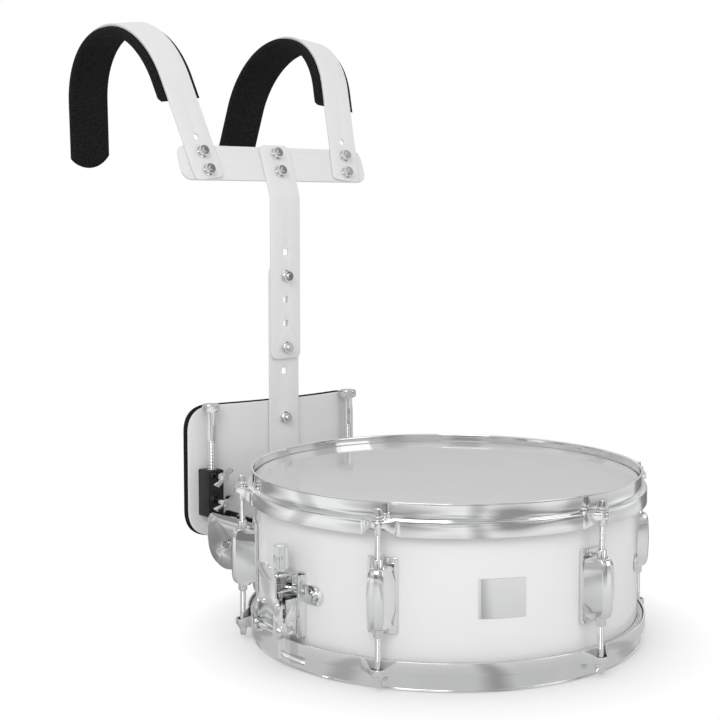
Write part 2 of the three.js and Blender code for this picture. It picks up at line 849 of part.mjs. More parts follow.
function throwOffLever() {
  const inner = slideHalfWidth + leverCheekGap;
  const outer = inner + strainerSheet;
  const plateBack = pivotOut - strainerSheet / 2;
  const cheekOutline = new THREE.Shape();
  cheekOutline.moveTo(plateBack - strainerSheet, leverCheekTop);
  cheekOutline.lineTo(plateBack - strainerSheet, leverPivotHeight + leverCheekRadius);
  const [lobeStart, lobeEnd] = [degrees(leverLobeStart), degrees(leverLobeEnd)];
  cheekOutline.absarc(pivotOut, leverPivotHeight, leverCheekRadius, lobeStart, lobeEnd);
  cheekOutline.lineTo(pivotOut + leverBulge, leverPivotHeight + leverCheekRadius / 2);
  cheekOutline.lineTo(pivotOut + leverBulge, leverPlateFoot + leverBulge);
  cheekOutline.lineTo(plateBack + strainerSheet, leverCheekTop);
  const cheek = (front) => frontPlate(cheekOutline, front, strainerSheet, arcSteps);
  const plateOutline = polygon([
    [-outer, leverPlateFoot],
    [outer, leverPlateFoot],
    [outer, leverShoulderLow],
    [leverWaistHalfWidth, leverShoulderHigh],
    [leverTopHalfWidth, leverBendHeight],
    [-leverTopHalfWidth, leverBendHeight],
    [-leverWaistHalfWidth, leverShoulderHigh],
    [-outer, leverShoulderLow],
  ]);
  const plate = sidePlate(plateOutline, plateBack, strainerSheet);
  const half = leverTopHalfWidth;
  const tipOutline = roundedBox(-half, half, -leverTopCorner, leverTopLength, leverTopCorner);
  const tipFoot = -strainerSheet / 2;
  const tipSpan = block([-strainerSheet, strainerSheet], [-outer, outer], [tipFoot, leverTopLength]);
  const tip = moved(
    sidePlate(tipOutline, -strainerSheet / 2, strainerSheet).intersect(tipSpan),
    shift(pivotOut, 0, leverBendHeight).multiply(new THREE.Matrix4().makeRotationY(degrees(leverTopBend))),
  );
  const headEnd = outer + leverPinHeadHeight;
  const pinEnd = (side) => point(pivotOut, side * outer, leverPivotHeight);
  const pin = bar(pinEnd(-1), pinEnd(1), leverPinRadius);
  const pinHead = (side) =>
    bar(
      point(pivotOut, side * (outer - strainerSheet / 2), leverPivotHeight),
      point(pivotOut, side * headEnd, leverPivotHeight),
      leverPinHeadRadius,
      tubeSides,
      leverPinRadius,
    );
  return join(plate, tip, cheek(inner), cheek(-outer), pin, pinHead(1), pinHead(-1));
}

// A block with a slot right through, in which the strap's end is gripped
function strapGrip(back, front, halfWidth, foot, height) {
  const slack = strapSlotSlack;
  const body = block([back, front], [-halfWidth, halfWidth], [foot, foot + height]);
  const slot = block(
    [strapRiseRadius - slack, strapRiseRadius + strapThickness + slack],
    [-strapWidth / 2 - slack, strapWidth / 2 + slack],
    [foot - cutOverrun, foot + height + cutOverrun],
  );
  return cut(body, slot);
}

function strapClamp() {
  const back = slideBack + strainerSheet + runningGap;
  const halfWidth = slideCheekInner - runningGap;
  return strapGrip(back, back + strapClampDepth, halfWidth, strapClampFoot, strapClampHeight);
}

function buttPlate() {
  const sheet = hugging(
    roundedBox(-buttHalfWidth, buttHalfWidth, buttFoot, buttFoot + buttHeight, buttCorner),
    lugSeatRadius,
    strainerSheet,
  );
  const grip = strapGrip(
    lugSeatRadius + strainerSheet / 2,
    strapRiseRadius + strapThickness + buttBlockLip,
    buttBlockHalfWidth,
    buttBlockFoot,
    buttBlockHeight,
  );
  return sheet.add(grip);
}

// The strap runs level from the snare wires' end plate through the gate and bends up outside it
function strap() {
  const start = snareHalfLength + snarePlateLength + seatGap;
  const outer = strapRiseRadius + strapThickness;
  const ceiling = strapHeight + strapThickness;
  const slope = strapThickness * Math.tan(degrees(strapBendTurn) / 2);
  const outline = polygon([
    [start, strapHeight],
    [outer - strapBend, strapHeight],
    [outer, strapHeight + strapBend],
    [outer, strapTop],
    [strapRiseRadius, strapTop],
    [strapRiseRadius, strapHeight + strapBend + slope],
    [outer - strapBend - slope, ceiling],
    [start, ceiling],
  ]);
  return frontPlate(outline, -strapWidth / 2, strapWidth);
}

function snareWires() {
  const head = shellBottom - seatGap - filmThickness;
  const strandTop = head - seatGap;
  const width = (snareStrandCount - 1) * snareStrandPitch;
  const halfPlate = width / 2 + snarePlateMargin;
  const low = strapHeight - seatGap;
  const plate = (side) =>
    block(
      side > 0
        ? [snareHalfLength, snareHalfLength + snarePlateLength]
        : [-snareHalfLength - snarePlateLength, -snareHalfLength],
      [-halfPlate, halfPlate],
      [low, low + snarePlateThickness],
    );
  let body = plate(1).add(plate(-1));
  const lap = snarePlateLength / 2;
  for (let i = 0; i < snareStrandCount; i += 1) {
    const y = -width / 2 + i * snareStrandPitch;
    const strand = block(
      [-snareHalfLength - lap, snareHalfLength + lap],
      [y - snareStrandWidth / 2, y + snareStrandWidth / 2],
      [low + snarePlateThickness / 2, strandTop],
    );
    body = body.add(strand);
  }
  return body;
}

// Hanger bracket: a foot that hugs the shell, two cheeks towards the player, and the cross pin
const hookBendCentre = hookRodDepth - hookBendRadius;
const hangerReach = clampBlockFront - seatGap;
const hangerPinHeight = hookBendHeight - hookBendRadius + hookRodRadius + seatGap + hangerPinRadius;

function hanger(side) {
  const foot = hugging(
    roundedBox(-hangerFootHalfWidth, hangerFootHalfWidth, hangerBottom, hangerTop, hangerFootCorner),
    lugSeatRadius,
    hangerSheet,
  );
  const root = shellRadius * Math.cos(degrees(180 - hangerAngle)) - shellWall;
  const outline = new THREE.Shape();
  outline.moveTo(root, hangerTop);
  outline.lineTo(root, hangerBottom);
  outline.absarc(
    hangerReach - hangerBottomCorner,
    hangerBottom + hangerBottomCorner,
    hangerBottomCorner,
    -Math.PI / 2,
    0,
  );
  outline.absarc(hangerReach - hangerTopCorner, hangerTop - hangerTopCorner, hangerTopCorner, 0, Math.PI / 2);
  const slotY = hookBendCentre - hangerSlotOffset;
  const slotZ = hangerTop - hangerSlotDrop;
  const slot = new THREE.Path();
  const slotHalf = hangerSlotLength / 2;
  slot.absellipse(slotY, slotZ, slotHalf, hangerSlotRadius, 0, 2 * Math.PI, true, -degrees(hangerSlotTilt));
  outline.holes.push(slot);
  const cheek = (x) => sidePlate(outline, x, hangerSheet, arcSteps);
  const left = side * hangerSpread - hangerHalfGap - hangerSheet;
  const right = side * hangerSpread + hangerHalfGap;
  const cheeks = cut(
    cheek(left).add(cheek(right)),
    turned([[0, -cutOverrun], [lugSeatRadius, -cutOverrun], [lugSeatRadius, shellTop], [0, shellTop]]),
  );
  const pin = bar(
    point(left, hookBendCentre, hangerPinHeight),
    point(right + hangerSheet, hookBendCentre, hangerPinHeight),
    hangerPinRadius,
    tubeSides,
  );
  const rivet = (x, away) =>
    bar(
      point(x - (away * hangerSheet) / 2, hookBendCentre, hangerPinHeight),
      point(x + away * hangerPinHeadHeight, hookBendCentre, hangerPinHeight),
      hangerPinHeadRadius,
      tubeSides,
    );
  return join(swung(foot, side * hangerAngle), cheeks, pin, rivet(left, -1), rivet(right + hangerSheet, 1));
}

// Hook rod: hex head, straight shank, half-round hook and its short tip, drawn about the shank's axis
class HalfTurn extends THREE.Curve {
  constructor(y, z, radius) {
    super();
    Object.assign(this, { y, z, radius });
  }

  getPoint(share) {
    const turn = Math.PI * share;
    return point(0, this.y + this.radius * Math.cos(turn), this.z - this.radius * Math.sin(turn));
  }
}

function hookRod() {
  const section = new THREE.Shape();
  section.absellipse(0, 0, hookRodRadius, hookRodRadius, 0, 2 * Math.PI);
  const bend = solid(
    new THREE.ExtrudeGeometry(section, {
      steps: hookSteps,
      curveSegments: tubeSides / 2,
      bevelEnabled: false,
      extrudePath: new HalfTurn(-hookBendRadius, hookBendHeight, hookBendRadius),
    }),
  );
  const foot = hookBendHeight - joinLap;
  const upright = (y, top) => bar(point(0, y, foot), point(0, y, top), hookRodRadius, tubeSides);
  const shank = upright(0, hookRodTop + joinLap);
  const tip = upright(-2 * hookBendRadius, hookBendHeight + hookTipLength);
  const headTop = hookRodTop + hookHeadHeight;
  const hex = bar(point(0, 0, hookRodTop), point(0, 0, headTop), hookHeadRadius, hexSides);
  return join(shank, bend, tip, moved(hex, new THREE.Matrix4().makeRotationZ(Math.PI / hexSides)));
}

// The belly plate's front surface is a cylinder with its axis behind the player
const bellyFront = barFront + 2 * barSheet + 2 * seatGap;
const bellyAxisDepth = bellyFront + bellyCurveRadius;

function bellySlab(outerRadius, thickness, margin) {
  const halfWidth = bellyWidth / 2 + margin;
  const low = bellyBottom - margin;
  const height = bellyHeight + 2 * margin;
  const reach = Math.asin((halfWidth + cutOverrun) / (outerRadius - thickness));
  const outline = new THREE.Shape();
  const down = -Math.PI / 2;
  outline.absarc(0, bellyAxisDepth, outerRadius, down - reach, down + reach);
  outline.absarc(0, bellyAxisDepth, outerRadius - thickness, down + reach, down - reach, true);
  const slab = flatPlate(outline, low - cutOverrun, height + 2 * cutOverrun, bellySteps);
  const border = roundedBox(-halfWidth, halfWidth, low, low + height, bellyCorner);
  const cutter = frontPlate(border, barFront, bellyWidth, arcSteps);
  return slab.intersect(cutter);
}

function bellyPlate() {
  return bellySlab(bellyCurveRadius, bellySheet, 0);
}

function bellyPad() {
  return bellySlab(bellyCurveRadius - bellySheet - seatGap, bellyPadThickness, bellyPadMargin);
}

// A clamp block lies on the curved plate and holds its hook rod in a round hole. It is drawn from
// the middle of its front face's foot line.
function clampBlock(side) {
  const half = clampBlockWidth / 2;
  const top = clampBlockBottom + clampBlockHeight;
  const outline = roundedBox(-half, half, clampBlockBottom, top, clampBlockEdge);
  const body = frontPlate(outline, 0, 2 * clampBlockWidth);
  const outside = bellyCurveRadius + seatGap;
  const from = clampBlockBottom - cutOverrun;
  const to = top + cutOverrun;
  const plateSpace = moved(
    turned([[0, from], [outside, from], [outside, to], [0, to]], wideSides),
    shift(-side * hangerSpread, bellyAxisDepth - clampBlockFront, 0),
  );
  const rodHole = bar(
    point(0, hookRodInset, from),
    point(0, hookRodInset, to),
    hookRodRadius + runningGap + seatGap / 2,
    holeSides,
  );
  const passes = wingScrewRadius + boltHoleGap;
  const screwHoles = wingHeights.map((height) =>
    bar(point(0, -cutOverrun, height), point(0, hookRodInset, height), passes, holeSides));
  return cut(body, plateSpace, rodHole, ...screwHoles);
}

// A wing screw's axis is Y, and its zero is the clamp block's front face
function wingScrew() {
  const tip = hookRodInset - hookRodRadius - seatGap;
  const hubFront = -wingStandoff - wingHubLength;
  const hubMiddle = hubFront + wingHubLength / 2;
  const shank = bar(point(0, tip, 0), point(0, hubMiddle, 0), wingScrewRadius);
  const hubEnd = wingHubRadius - knobEdge;
  const hub = bar(point(0, -wingStandoff, 0), point(0, hubFront, 0), wingHubRadius, tubeSides, hubEnd);
  return join(shank, hub, moved(wingBlade(), shift(0, hubMiddle, 0)));
}

// Two wings as one tapered blade across the hub, thin across its width
function wingBlade() {
  const root = wingHubLength / 2 - knobEdge;
  const tip = wingTipHeight / 2;
  const outline = polygon([
    [-wingSpanRadius, -tip],
    [0, -root],
    [wingSpanRadius, -tip],
    [wingSpanRadius, tip],
    [0, root],
    [-wingSpanRadius, tip],
  ]);
  return flatPlate(outline, -wingThickness / 2, wingThickness);
}

// Carrier bars
const settingHole = (step) => settingHoleBase + step * settingHolePitch;
const boltedSteps = [0, 3];
const upperBarSteps = [0, 1, 2, 3];
const lowerBarSteps = [-1, 0, 1, 2, 3];

// The chest frame leans back from the centre bar's bend line
const chestLean = new THREE.Matrix4().makeRotationX(-degrees(chestTilt));
const chestPlace = shift(0, barFront, bendHeight).multiply(chestLean);

function upperCentreBar() {
  const half = barWidth / 2;
  const lower = roundedBox(-half, half, upperBarBottom, bendHeight + 2 * barCorner, barCorner);
  for (const step of upperBarSteps) lower.holes.push(squareHole(0, settingHole(step), settingHoleWidth));
  const tiltedTop = crossBarMiddle + crossBarWidth / 2 + upperBarTopMargin;
  const upper = roundedBox(-half, half, -2 * barCorner, tiltedTop, barCorner);
  for (const side of [-1, 1]) {
    const height = crossBarMiddle + (side * crossBoltPitch) / 2;
    upper.holes.push(roundHole(0, height, boltRadius + boltHoleGap));
  }
  const span = [-half, half];
  const depth = [barFront - barWidth, barFront + barWidth];
  const vertical = frontPlate(lower, barFront, barSheet)
    .intersect(block(span, depth, [upperBarBottom - cutOverrun, bendHeight]));
  const leaning = moved(frontPlate(upper, 0, barSheet), chestPlace)
    .intersect(block(span, depth, [bendHeight, bendHeight + 2 * crossBarMiddle]));
  const elbow = bar(
    point(-half, barFront + barSheet / 2, bendHeight),
    point(half, barFront + barSheet / 2, bendHeight),
    barSheet / 2,
    tubeSides,
  );
  return join(vertical, leaning, elbow);
}

function lowerCentreBar() {
  const half = barWidth / 2;
  const outline = roundedBox(-half, half, lowerBarBottom, lowerBarTop, lowerBarCorner);
  for (const step of lowerBarSteps) outline.holes.push(squareHole(0, settingHole(step), settingHoleWidth));
  return frontPlate(outline, barFront + barSheet + seatGap, barSheet);
}

// The chest frame's pieces are drawn upright, with the bend line as their zero height
const crossBarFront = barSheet + seatGap;

// A shoulder bar stands on the chest frame, splayed about the middle of its two bolts,
// and its arch leans in towards the neck as it runs back
const toeInSlope = Math.tan(degrees(shoulderToeIn));
const toeIn = (side) => new THREE.Matrix4().makeShear(0, 0, -side * toeInSlope, 0, 0, 0);

const pairHeights = [-crossBoltPitch / 2, crossBoltPitch / 2];

function crossBar() {
  const low = crossBarMiddle - crossBarWidth / 2;
  const end = crossBarHalfLength;
  const outline = roundedBox(-end, end, low, low + crossBarWidth, crossBarCorner);
  const splay = degrees(shoulderSplay);
  for (const along of pairHeights) {
    outline.holes.push(roundHole(0, crossBarMiddle + along, boltRadius + boltHoleGap));
    for (const side of [-1, 1]) {
      outline.holes.push(roundHole(
        side * (shoulderSpread + along * Math.sin(splay)),
        crossBarMiddle + along * Math.cos(splay),
        boltRadius + boltHoleGap,
      ));
    }
  }
  return frontPlate(outline, crossBarFront, barSheet);
}

// The side view of a strip that runs up the leg and round the arch, between two distances
// behind the leg's front face. The far side of its foot can start higher by a slant.
function archOutline(legStart, near, far, slant) {
  const outline = new THREE.Shape();
  const end = Math.PI - degrees(shoulderArchTurn);
  const centreY = shoulderArchRadius;
  outline.moveTo(far, legStart + slant);
  outline.lineTo(near, legStart);
  outline.lineTo(near, shoulderLegLength);
  outline.absarc(centreY, shoulderLegLength, shoulderArchRadius - near, Math.PI, end, true);
  outline.absarc(centreY, shoulderLegLength, shoulderArchRadius - far, end, Math.PI);
  return outline;
}

// A strip's end, drawn in (X, length), square where it starts and rounded where it ends
function tongue(halfWidth, start, end, corner) {
  const outline = new THREE.Shape();
  outline.moveTo(-halfWidth, start);
  outline.lineTo(halfWidth, start);
  outline.absarc(halfWidth - corner, end - corner, corner, 0, Math.PI / 2);
  outline.absarc(-halfWidth + corner, end - corner, corner, Math.PI / 2, Math.PI);
  return outline;
}

// Carries what stands on the leg's start to the end of the arch
function onArchEnd(body) {
  const turn = degrees(shoulderArchTurn);
  const back = shoulderArchRadius * (1 - Math.cos(turn));
  const up = shoulderLegLength + shoulderArchRadius * Math.sin(turn);
  return moved(body, shift(0, back, up).multiply(new THREE.Matrix4().makeRotationX(-turn)));
}

function shoulderBar() {
  const half = shoulderWidth / 2;
  const legTop = shoulderLegLength;
  const leg = roundedBox(-half, half, -shoulderFoot, legTop, shoulderCorner);
  for (const along of [...pairHeights, shoulderSpareHole]) {
    leg.holes.push(roundHole(0, along, boltRadius + boltHoleGap));
  }
  const legPlate = frontPlate(leg, 0, barSheet)
    .intersect(block([-half, half], [-barSheet, 2 * barSheet], [-shoulderFoot, legTop - shoulderCorner]));
  const archSide = archOutline(legTop - shoulderCorner, 0, barSheet, 0);
  const archStrip = sidePlate(archSide, -half, shoulderWidth, archSteps);
  const tail = frontPlate(tongue(half, 0, shoulderTailLength, shoulderTailCorner), 0, barSheet);
  return join(legPlate, archStrip, onArchEnd(tail));
}

// Foam pad on the inner face of the arch, its long edges rounded off
function shoulderPad() {
  const near = barSheet + seatGap + padEdge;
  const far = barSheet + seatGap + padThickness - padEdge;
  const half = padWidth / 2 - padEdge;
  const rounded = { bevelEnabled: true, bevelThickness: padEdge, bevelSize: padEdge, bevelSegments: 1 };
  const strip = new THREE.ExtrudeGeometry(archOutline(padStart + padEdge, near, far, padSlant), {
    ...rounded,
    depth: 2 * half,
    curveSegments: archSteps,
  });
  const end = new THREE.ExtrudeGeometry(tongue(half, -padEdge, padTail - padEdge, padTailCorner), {
    ...rounded,
    depth: far - near,
    curveSegments: arcSteps,
  });
  const keep = block([-padWidth, padWidth], [0, padWidth], [0, padTail]);
  const stripBody = solid(strip.applyMatrix4(drawnSide).translate(-half, 0, 0));
  const endBody = solid(end.applyMatrix4(drawnFront).translate(0, far, 0)).intersect(keep);
  return stripBody.add(onArchEnd(endBody));
}

// A carriage bolt through two sheets, drawn along Z: its domed head is above the sheets, and its
// washer and nut are below the first sheet's face, which is its zero.
function carriageBolt(grip) {
  const back = grip + seatGap;
  const headTop = back + boltHeadHeight;
  const washerFace = -seatGap;
  const washerFront = washerFace - washerThickness;
  const nutFront = washerFront - nutHeight;
  const profile = [
    [0, nutFront - boltTail],
    [boltRadius, nutFront - boltTail],
    [boltRadius, washerFront],
    [washerRadius, washerFront],
    [washerRadius, washerFace],
    [boltRadius, washerFace],
    [boltRadius, back],
    [boltHeadRadius, back],
    [boltHeadRadius * boltHeadCrownShare, headTop],
    [0, headTop],
  ];
  const shank = turned(profile, rodSides);
  const nut = bar(point(0, 0, nutFront), point(0, 0, washerFront + joinLap), nutRadius, hexSides);
  return shank.add(nut);
}

const twoSheets = 2 * barSheet + seatGap;

// The drum
const drum = new THREE.Group();
drum.add(piece('shell', shell(), whiteWrap));
drum.add(piece('batter_head', head(aboveDrum), milkyFilm));
drum.add(piece('snare_side_head', head(belowDrum), milkyFilm));
drum.add(piece('batter_hoop', hoop(aboveDrum, skirtLength), chrome));
drum.add(piece('snare_side_hoop', snareSideHoop(), chrome));
drum.add(piece('snare_wires', snareWires(), steelWire));

// A place on the drum's wall, turned to its angle
function onWall(angle, ...pieces) {
  const place = new THREE.Group();
  place.rotation.z = turnTo(angle);
  place.add(...pieces);
  drum.add(place);
}

function placed(mesh, x, y, z) {
  mesh.position.set(x, y, z);
  return mesh;
}

const oneLug = lug();
const oneRod = tensionRod();
for (let i = 0; i < lugCount; i += 1) {
  const upperRod = piece(`tension_rod_top_${i + 1}`, oneRod, chrome);
  const lowerRod = piece(`tension_rod_bottom_${i + 1}`, oneRod, chrome);
  placed(upperRod, rodCircleRadius, 0, middleHeight);
  placed(lowerRod, rodCircleRadius, 0, middleHeight);
  lowerRod.rotation.x = Math.PI;
  onWall((360 / lugCount) * i, piece(`lug_${i + 1}`, oneLug, chrome), upperRod, lowerRod);
}

onWall(
  strainerAngle,
  piece('strainer_bracket', strainerBracket(), chrome),
  piece('strainer_slide', strainerSlide(), chrome),
  placed(piece('strainer_knob', strainerKnob(), chrome), screwRadiusOut, 0, 0),
  placed(piece('strainer_spring', strainerSpring(), steelWire), screwRadiusOut, 0, 0),
  piece('throw_off_lever', throwOffLever(), chrome),
  piece('strap_clamp', strapClamp(), chrome),
  piece('strainer_strap', strap(), nylonTape),
);
onWall(-strainerAngle, piece('butt_plate', buttPlate(), chrome), piece('butt_strap', strap(), nylonTape));

// The carrier: its chest frame leans back, and the shoulder bars splay out on it
const carrier = new THREE.Group();
const chest = new THREE.Group();
chest.position.set(0, barFront, bendHeight);
chest.rotation.x = -degrees(chestTilt);
carrier.add(chest);

const oneBolt = carriageBolt(twoSheets);
function bolt(name, x, y, z) {
  const mesh = placed(piece(name, oneBolt, chrome), x, y, z);
  mesh.rotation.x = -Math.PI / 2;
  return mesh;
}

for (const [name, side] of [['left', -1], ['right', 1]]) {
  const across = side * hangerSpread;
  drum.add(piece(`hanger_${name}`, hanger(side), chrome));
  carrier.add(placed(piece(`hook_rod_${name}`, hookRod(), chrome), across, hookRodDepth, 0));
  const clamp = piece(`clamp_block_${name}`, clampBlock(side), blackPlastic);
  carrier.add(placed(clamp, across, clampBlockFront, 0));
  ['low', 'high'].forEach((level, i) => {
    const screw = piece(`wing_screw_${level}_${name}`, wingScrew(), chrome);
    screw.rotation.y = side * degrees(wingTurns[i]);
    carrier.add(placed(screw, across, clampBlockFront, wingHeights[i]));
  });
  const shoulder = new THREE.Group();
  shoulder.position.set(side * shoulderSpread, 0, crossBarMiddle);
  shoulder.rotation.y = side * degrees(shoulderSplay);
  shoulder.add(piece(`shoulder_bar_${name}`, moved(shoulderBar(), toeIn(side)), whitePaint));
  shoulder.add(piece(`shoulder_pad_${name}`, moved(shoulderPad(), toeIn(side)), blackFoam));
  pairHeights.forEach((along, i) => shoulder.add(bolt(`shoulder_bolt_${name}_${i + 1}`, 0, 0, along)));
  chest.add(shoulder);
}

pairHeights.forEach((along, i) => chest.add(bolt(`cross_bolt_${i + 1}`, 0, 0, crossBarMiddle + along)));
boltedSteps.forEach((step, i) => carrier.add(bolt(`setting_bolt_${i + 1}`, 0, barFront, settingHole(step))));
chest.add(piece('cross_bar', crossBar(), whitePaint));
carrier.add(piece('upper_centre_bar', upperCentreBar(), whitePaint));
carrier.add(piece('lower_centre_bar', lowerCentreBar(), whitePaint));
carrier.add(piece('belly_plate', bellyPlate(), whitePaint));
carrier.add(piece('belly_pad', bellyPad(), blackFoam));

const part = new THREE.Group();
part.add(drum, carrier);
part.position.z = -playingFace;
export default part;
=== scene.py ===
# %% [markdown]
# # A marching snare drum on its shoulder carrier
#
# The drum and its carrier were drawn as plain solids first, in millimetres, and packed. This
# notebook loads those solids as a fixed frame and dresses them: polished hoops, ribbed lugs,
# a milky head, foam pads and painted bars. Nothing is moved. Each new piece is made where its
# solid stands and then takes its place.

# %% Load the frame
from math import cos, degrees, pi, radians, sin, sqrt, tan

import bmesh
import bpy
from mathutils import Matrix, Vector
from mathutils.bvhtree import BVHTree


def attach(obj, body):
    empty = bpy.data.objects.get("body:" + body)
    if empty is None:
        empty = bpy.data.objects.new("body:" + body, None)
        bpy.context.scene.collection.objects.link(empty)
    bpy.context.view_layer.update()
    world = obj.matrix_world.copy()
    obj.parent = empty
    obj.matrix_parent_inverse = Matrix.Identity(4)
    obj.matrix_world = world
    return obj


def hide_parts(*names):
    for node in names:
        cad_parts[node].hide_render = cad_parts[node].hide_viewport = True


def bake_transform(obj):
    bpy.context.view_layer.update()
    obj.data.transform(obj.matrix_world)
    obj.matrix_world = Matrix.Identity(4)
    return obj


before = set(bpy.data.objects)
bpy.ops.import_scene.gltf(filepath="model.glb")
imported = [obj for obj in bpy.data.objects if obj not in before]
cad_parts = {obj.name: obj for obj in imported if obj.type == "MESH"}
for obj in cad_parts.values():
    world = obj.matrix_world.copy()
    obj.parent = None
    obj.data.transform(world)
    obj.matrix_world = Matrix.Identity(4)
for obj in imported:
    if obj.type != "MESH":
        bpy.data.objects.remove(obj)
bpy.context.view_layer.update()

# %% [markdown]
# ## Units and the frame
#
# Blender counts in metres, while drum makers count in millimetres. Lengths below are written in
# millimetres, with heights counted from the floor that the drum stands on. One helper turns such
# a place into Blender's frame, whose origin is the middle of the batter head.

# %% Units
MM = 0.001
FACE_HEIGHT = 149.0
SHELL_TOP = 148.1
SHELL_BOTTOM = 8.4
DRUM_MIDDLE = (SHELL_TOP + SHELL_BOTTOM) / 2
FLOOR_HEIGHT = -0.6

scene = bpy.context.scene


def at(x, y, height):
    """A place in metres, from millimetres and a height above the floor."""
    return Vector((x, y, height - FACE_HEIGHT)) * MM


def loose(x, y, z):
    """A place in metres for a shape that is built round the origin and set on points later."""
    return Vector((x, y, z)) * MM


def placed(name, data):
    """An object in the scene for a mesh, a curve, a lamp or a camera."""
    made = bpy.data.objects.new(name, data)
    scene.collection.objects.link(made)
    return made


print("playing face at", at(0, 0, FACE_HEIGHT)[:], "floor at", at(0, 0, 0)[2])

# %% [markdown]
# ## Camera
#
# The photograph was taken with a longish lens from a little above the drum, off its front left
# corner. Straight bars that lean and the open ellipse of the head fix the viewing angle. A small
# lens shift puts the drum where it stands in the picture without tilting the upright bars.

# %% Camera
CAMERA_PLACE = (-0.90427, -0.95741, 0.24437)
CAMERA_DOWN = 4.8656
CAMERA_ROUND = -40.104
camera_data = bpy.data.cameras.new("camera")
camera_data.sensor_width = 36
camera_data.lens = 71.083
camera_data.shift_x = -0.0077
camera_data.shift_y = -0.0402
camera_data.clip_start = 0.01
camera_data.clip_end = 50
camera = placed("camera", camera_data)
camera.location = CAMERA_PLACE
camera.rotation_euler = (radians(90 - CAMERA_DOWN), 0, radians(CAMERA_ROUND))
scene.camera = camera
print("camera at", tuple(round(v, 3) for v in camera.location))

# %% [markdown]
# ## Floor, sky and lamps
#
# A product picture on white has a pale floor that runs out into white paper. A disc carries the
# soft shadow near the drum. Its colour gives way to plain white further out, and for the camera
# the world behind it is white as well. Polished metal mirrors another room: a sky in grey bands
# and a patchy floor, both with narrow dark cards. Large soft lamps stand for the studio's soft
# boxes. They stay at a level where paint looks as it is mixed.

# %% Floor and sky
scene.view_settings.view_transform = "Standard"
WHITE = (1, 1, 1, 1)


def node(tree, kind, inputs=None, **settings):
    """A node with its settings. An input gets a value, or an output that is linked to it."""
    made = tree.nodes.new(kind)
    for key, value in settings.items():
        setattr(made, key, value)
    for key, value in (inputs or {}).items():
        if isinstance(value, bpy.types.NodeSocket):
            tree.links.new(value, made.inputs[key])
        else:
            made.inputs[key].default_value = value
    return made


def maths(tree, operation, *values):
    """A Math node fed by outputs or numbers; returns its output."""
    return node(tree, "ShaderNodeMath", dict(enumerate(values)), operation=operation).outputs[0]


def spread(tree, value, span, to=(0.0, 1.0)):
    """Maps one span of values onto another."""
    ends = {"From Min": span[0], "From Max": span[1], "To Min": to[0], "To Max": to[1]}
    return node(tree, "ShaderNodeMapRange", {"Value": value, **ends}).outputs["Result"]


def either(tree, share, first, second):
    """The first shader, or the second where the share is 1."""
    ends = {1: first.outputs[0], 2: second.outputs[0]}
    return node(tree, "ShaderNodeMixShader", {"Fac": share, **ends})


def grey(level):
    return (level, level, level)


def grey_ramp(tree, share, first, last, stops):
    """A ramp of greys with its two end levels and stops of (position, level) between them."""
    made = node(tree, "ShaderNodeValToRGB", {"Fac": share})
    elements = made.color_ramp.elements
    elements[0].color = (*grey(first), 1)
    elements[1].color = (*grey(last), 1)
    for position, level in stops:
        elements.new(position).color = (*grey(level), 1)
    return made.outputs["Color"]


# Each flag: direction in degrees, half its width in degrees, and the brightness left there.
FLOOR_FLAGS = (
    (-165, 2, 0.7),
    (-118, 1, 0.6),
    (-64, 3, 0.75),
    (6, 7, 0.4),
    (87, 7, 0.4),
    (148, 3, 0.7),
)
SKY_FLAGS = ((-146, 7, 0.45), (-100, 4, 0.6), (-52, 8, 0.4), (-12, 5, 0.6), (118, 6, 0.6))
FLAG_EDGE = 5
SKY_BANDS = ((0.4, 0.5), (0.5, 0.5), (0.57, 0.55), (0.64, 0.9), (0.8, 0.55))
SKY_LIGHT = 0.62
SHADOW_RING = ((0.165, 1.0), (0.178, 0.25), (0.19, 0.45), (0.25, 1.0))


def dark_flags(tree, place, flags):
    """Narrow dark cards round the studio, which draw the dark lines on polished metal."""
    parts = node(tree, "ShaderNodeSeparateXYZ", {0: place}).outputs
    angle = maths(tree, "ARCTAN2", parts["Y"], parts["X"])
    stops = []
    for middle, half, dark in flags:
        edges = ((-half - FLAG_EDGE, 1.0), (-half, dark), (half, dark), (half + FLAG_EDGE, 1.0))
        stops += [((middle + offset + 180) / 360, level) for offset, level in edges]
    return grey_ramp(tree, spread(tree, angle, (-pi, pi)), 1.0, 1.0, stops)


def studio_world():
    """Plain white for the camera, even light for the object and a banded sky for the chrome."""
    world = bpy.data.worlds.new("studio")
    scene.world = world
    world.use_nodes = True
    tree = world.node_tree
    tree.nodes.clear()
    place = node(tree, "ShaderNodeTexCoord").outputs["Generated"]
    height = node(tree, "ShaderNodeSeparateXYZ", {0: place}).outputs["Z"]
    patches = node(tree, "ShaderNodeTexNoise", {"Vector": place, "Scale": 1.6, "Detail": 1.0})
    sway = spread(tree, patches.outputs["Fac"], (0.35, 0.65), (-0.05, 0.05))
    swayed = maths(tree, "ADD", spread(tree, height, (-1.0, 1.0)), sway)
    sky = grey_ramp(tree, swayed, 0.62, 1.0, SKY_BANDS)
    flags = dark_flags(tree, place, SKY_FLAGS)
    white = node(tree, "ShaderNodeBackground", {"Color": WHITE, "Strength": 1.0})
    mirrored = node(tree, "ShaderNodeBackground", {"Color": sky, "Strength": flags})
    lighting = node(tree, "ShaderNodeBackground", {"Color": WHITE, "Strength": SKY_LIGHT})
    seen = node(tree, "ShaderNodeLightPath").outputs
    for_object = either(tree, seen["Is Glossy Ray"], lighting, mirrored)
    straight = maths(tree, "MAXIMUM", seen["Is Camera Ray"], seen["Is Transmission Ray"])
    shown = either(tree, straight, for_object, white)
    node(tree, "ShaderNodeOutputWorld", {"Surface": shown.outputs[0]})


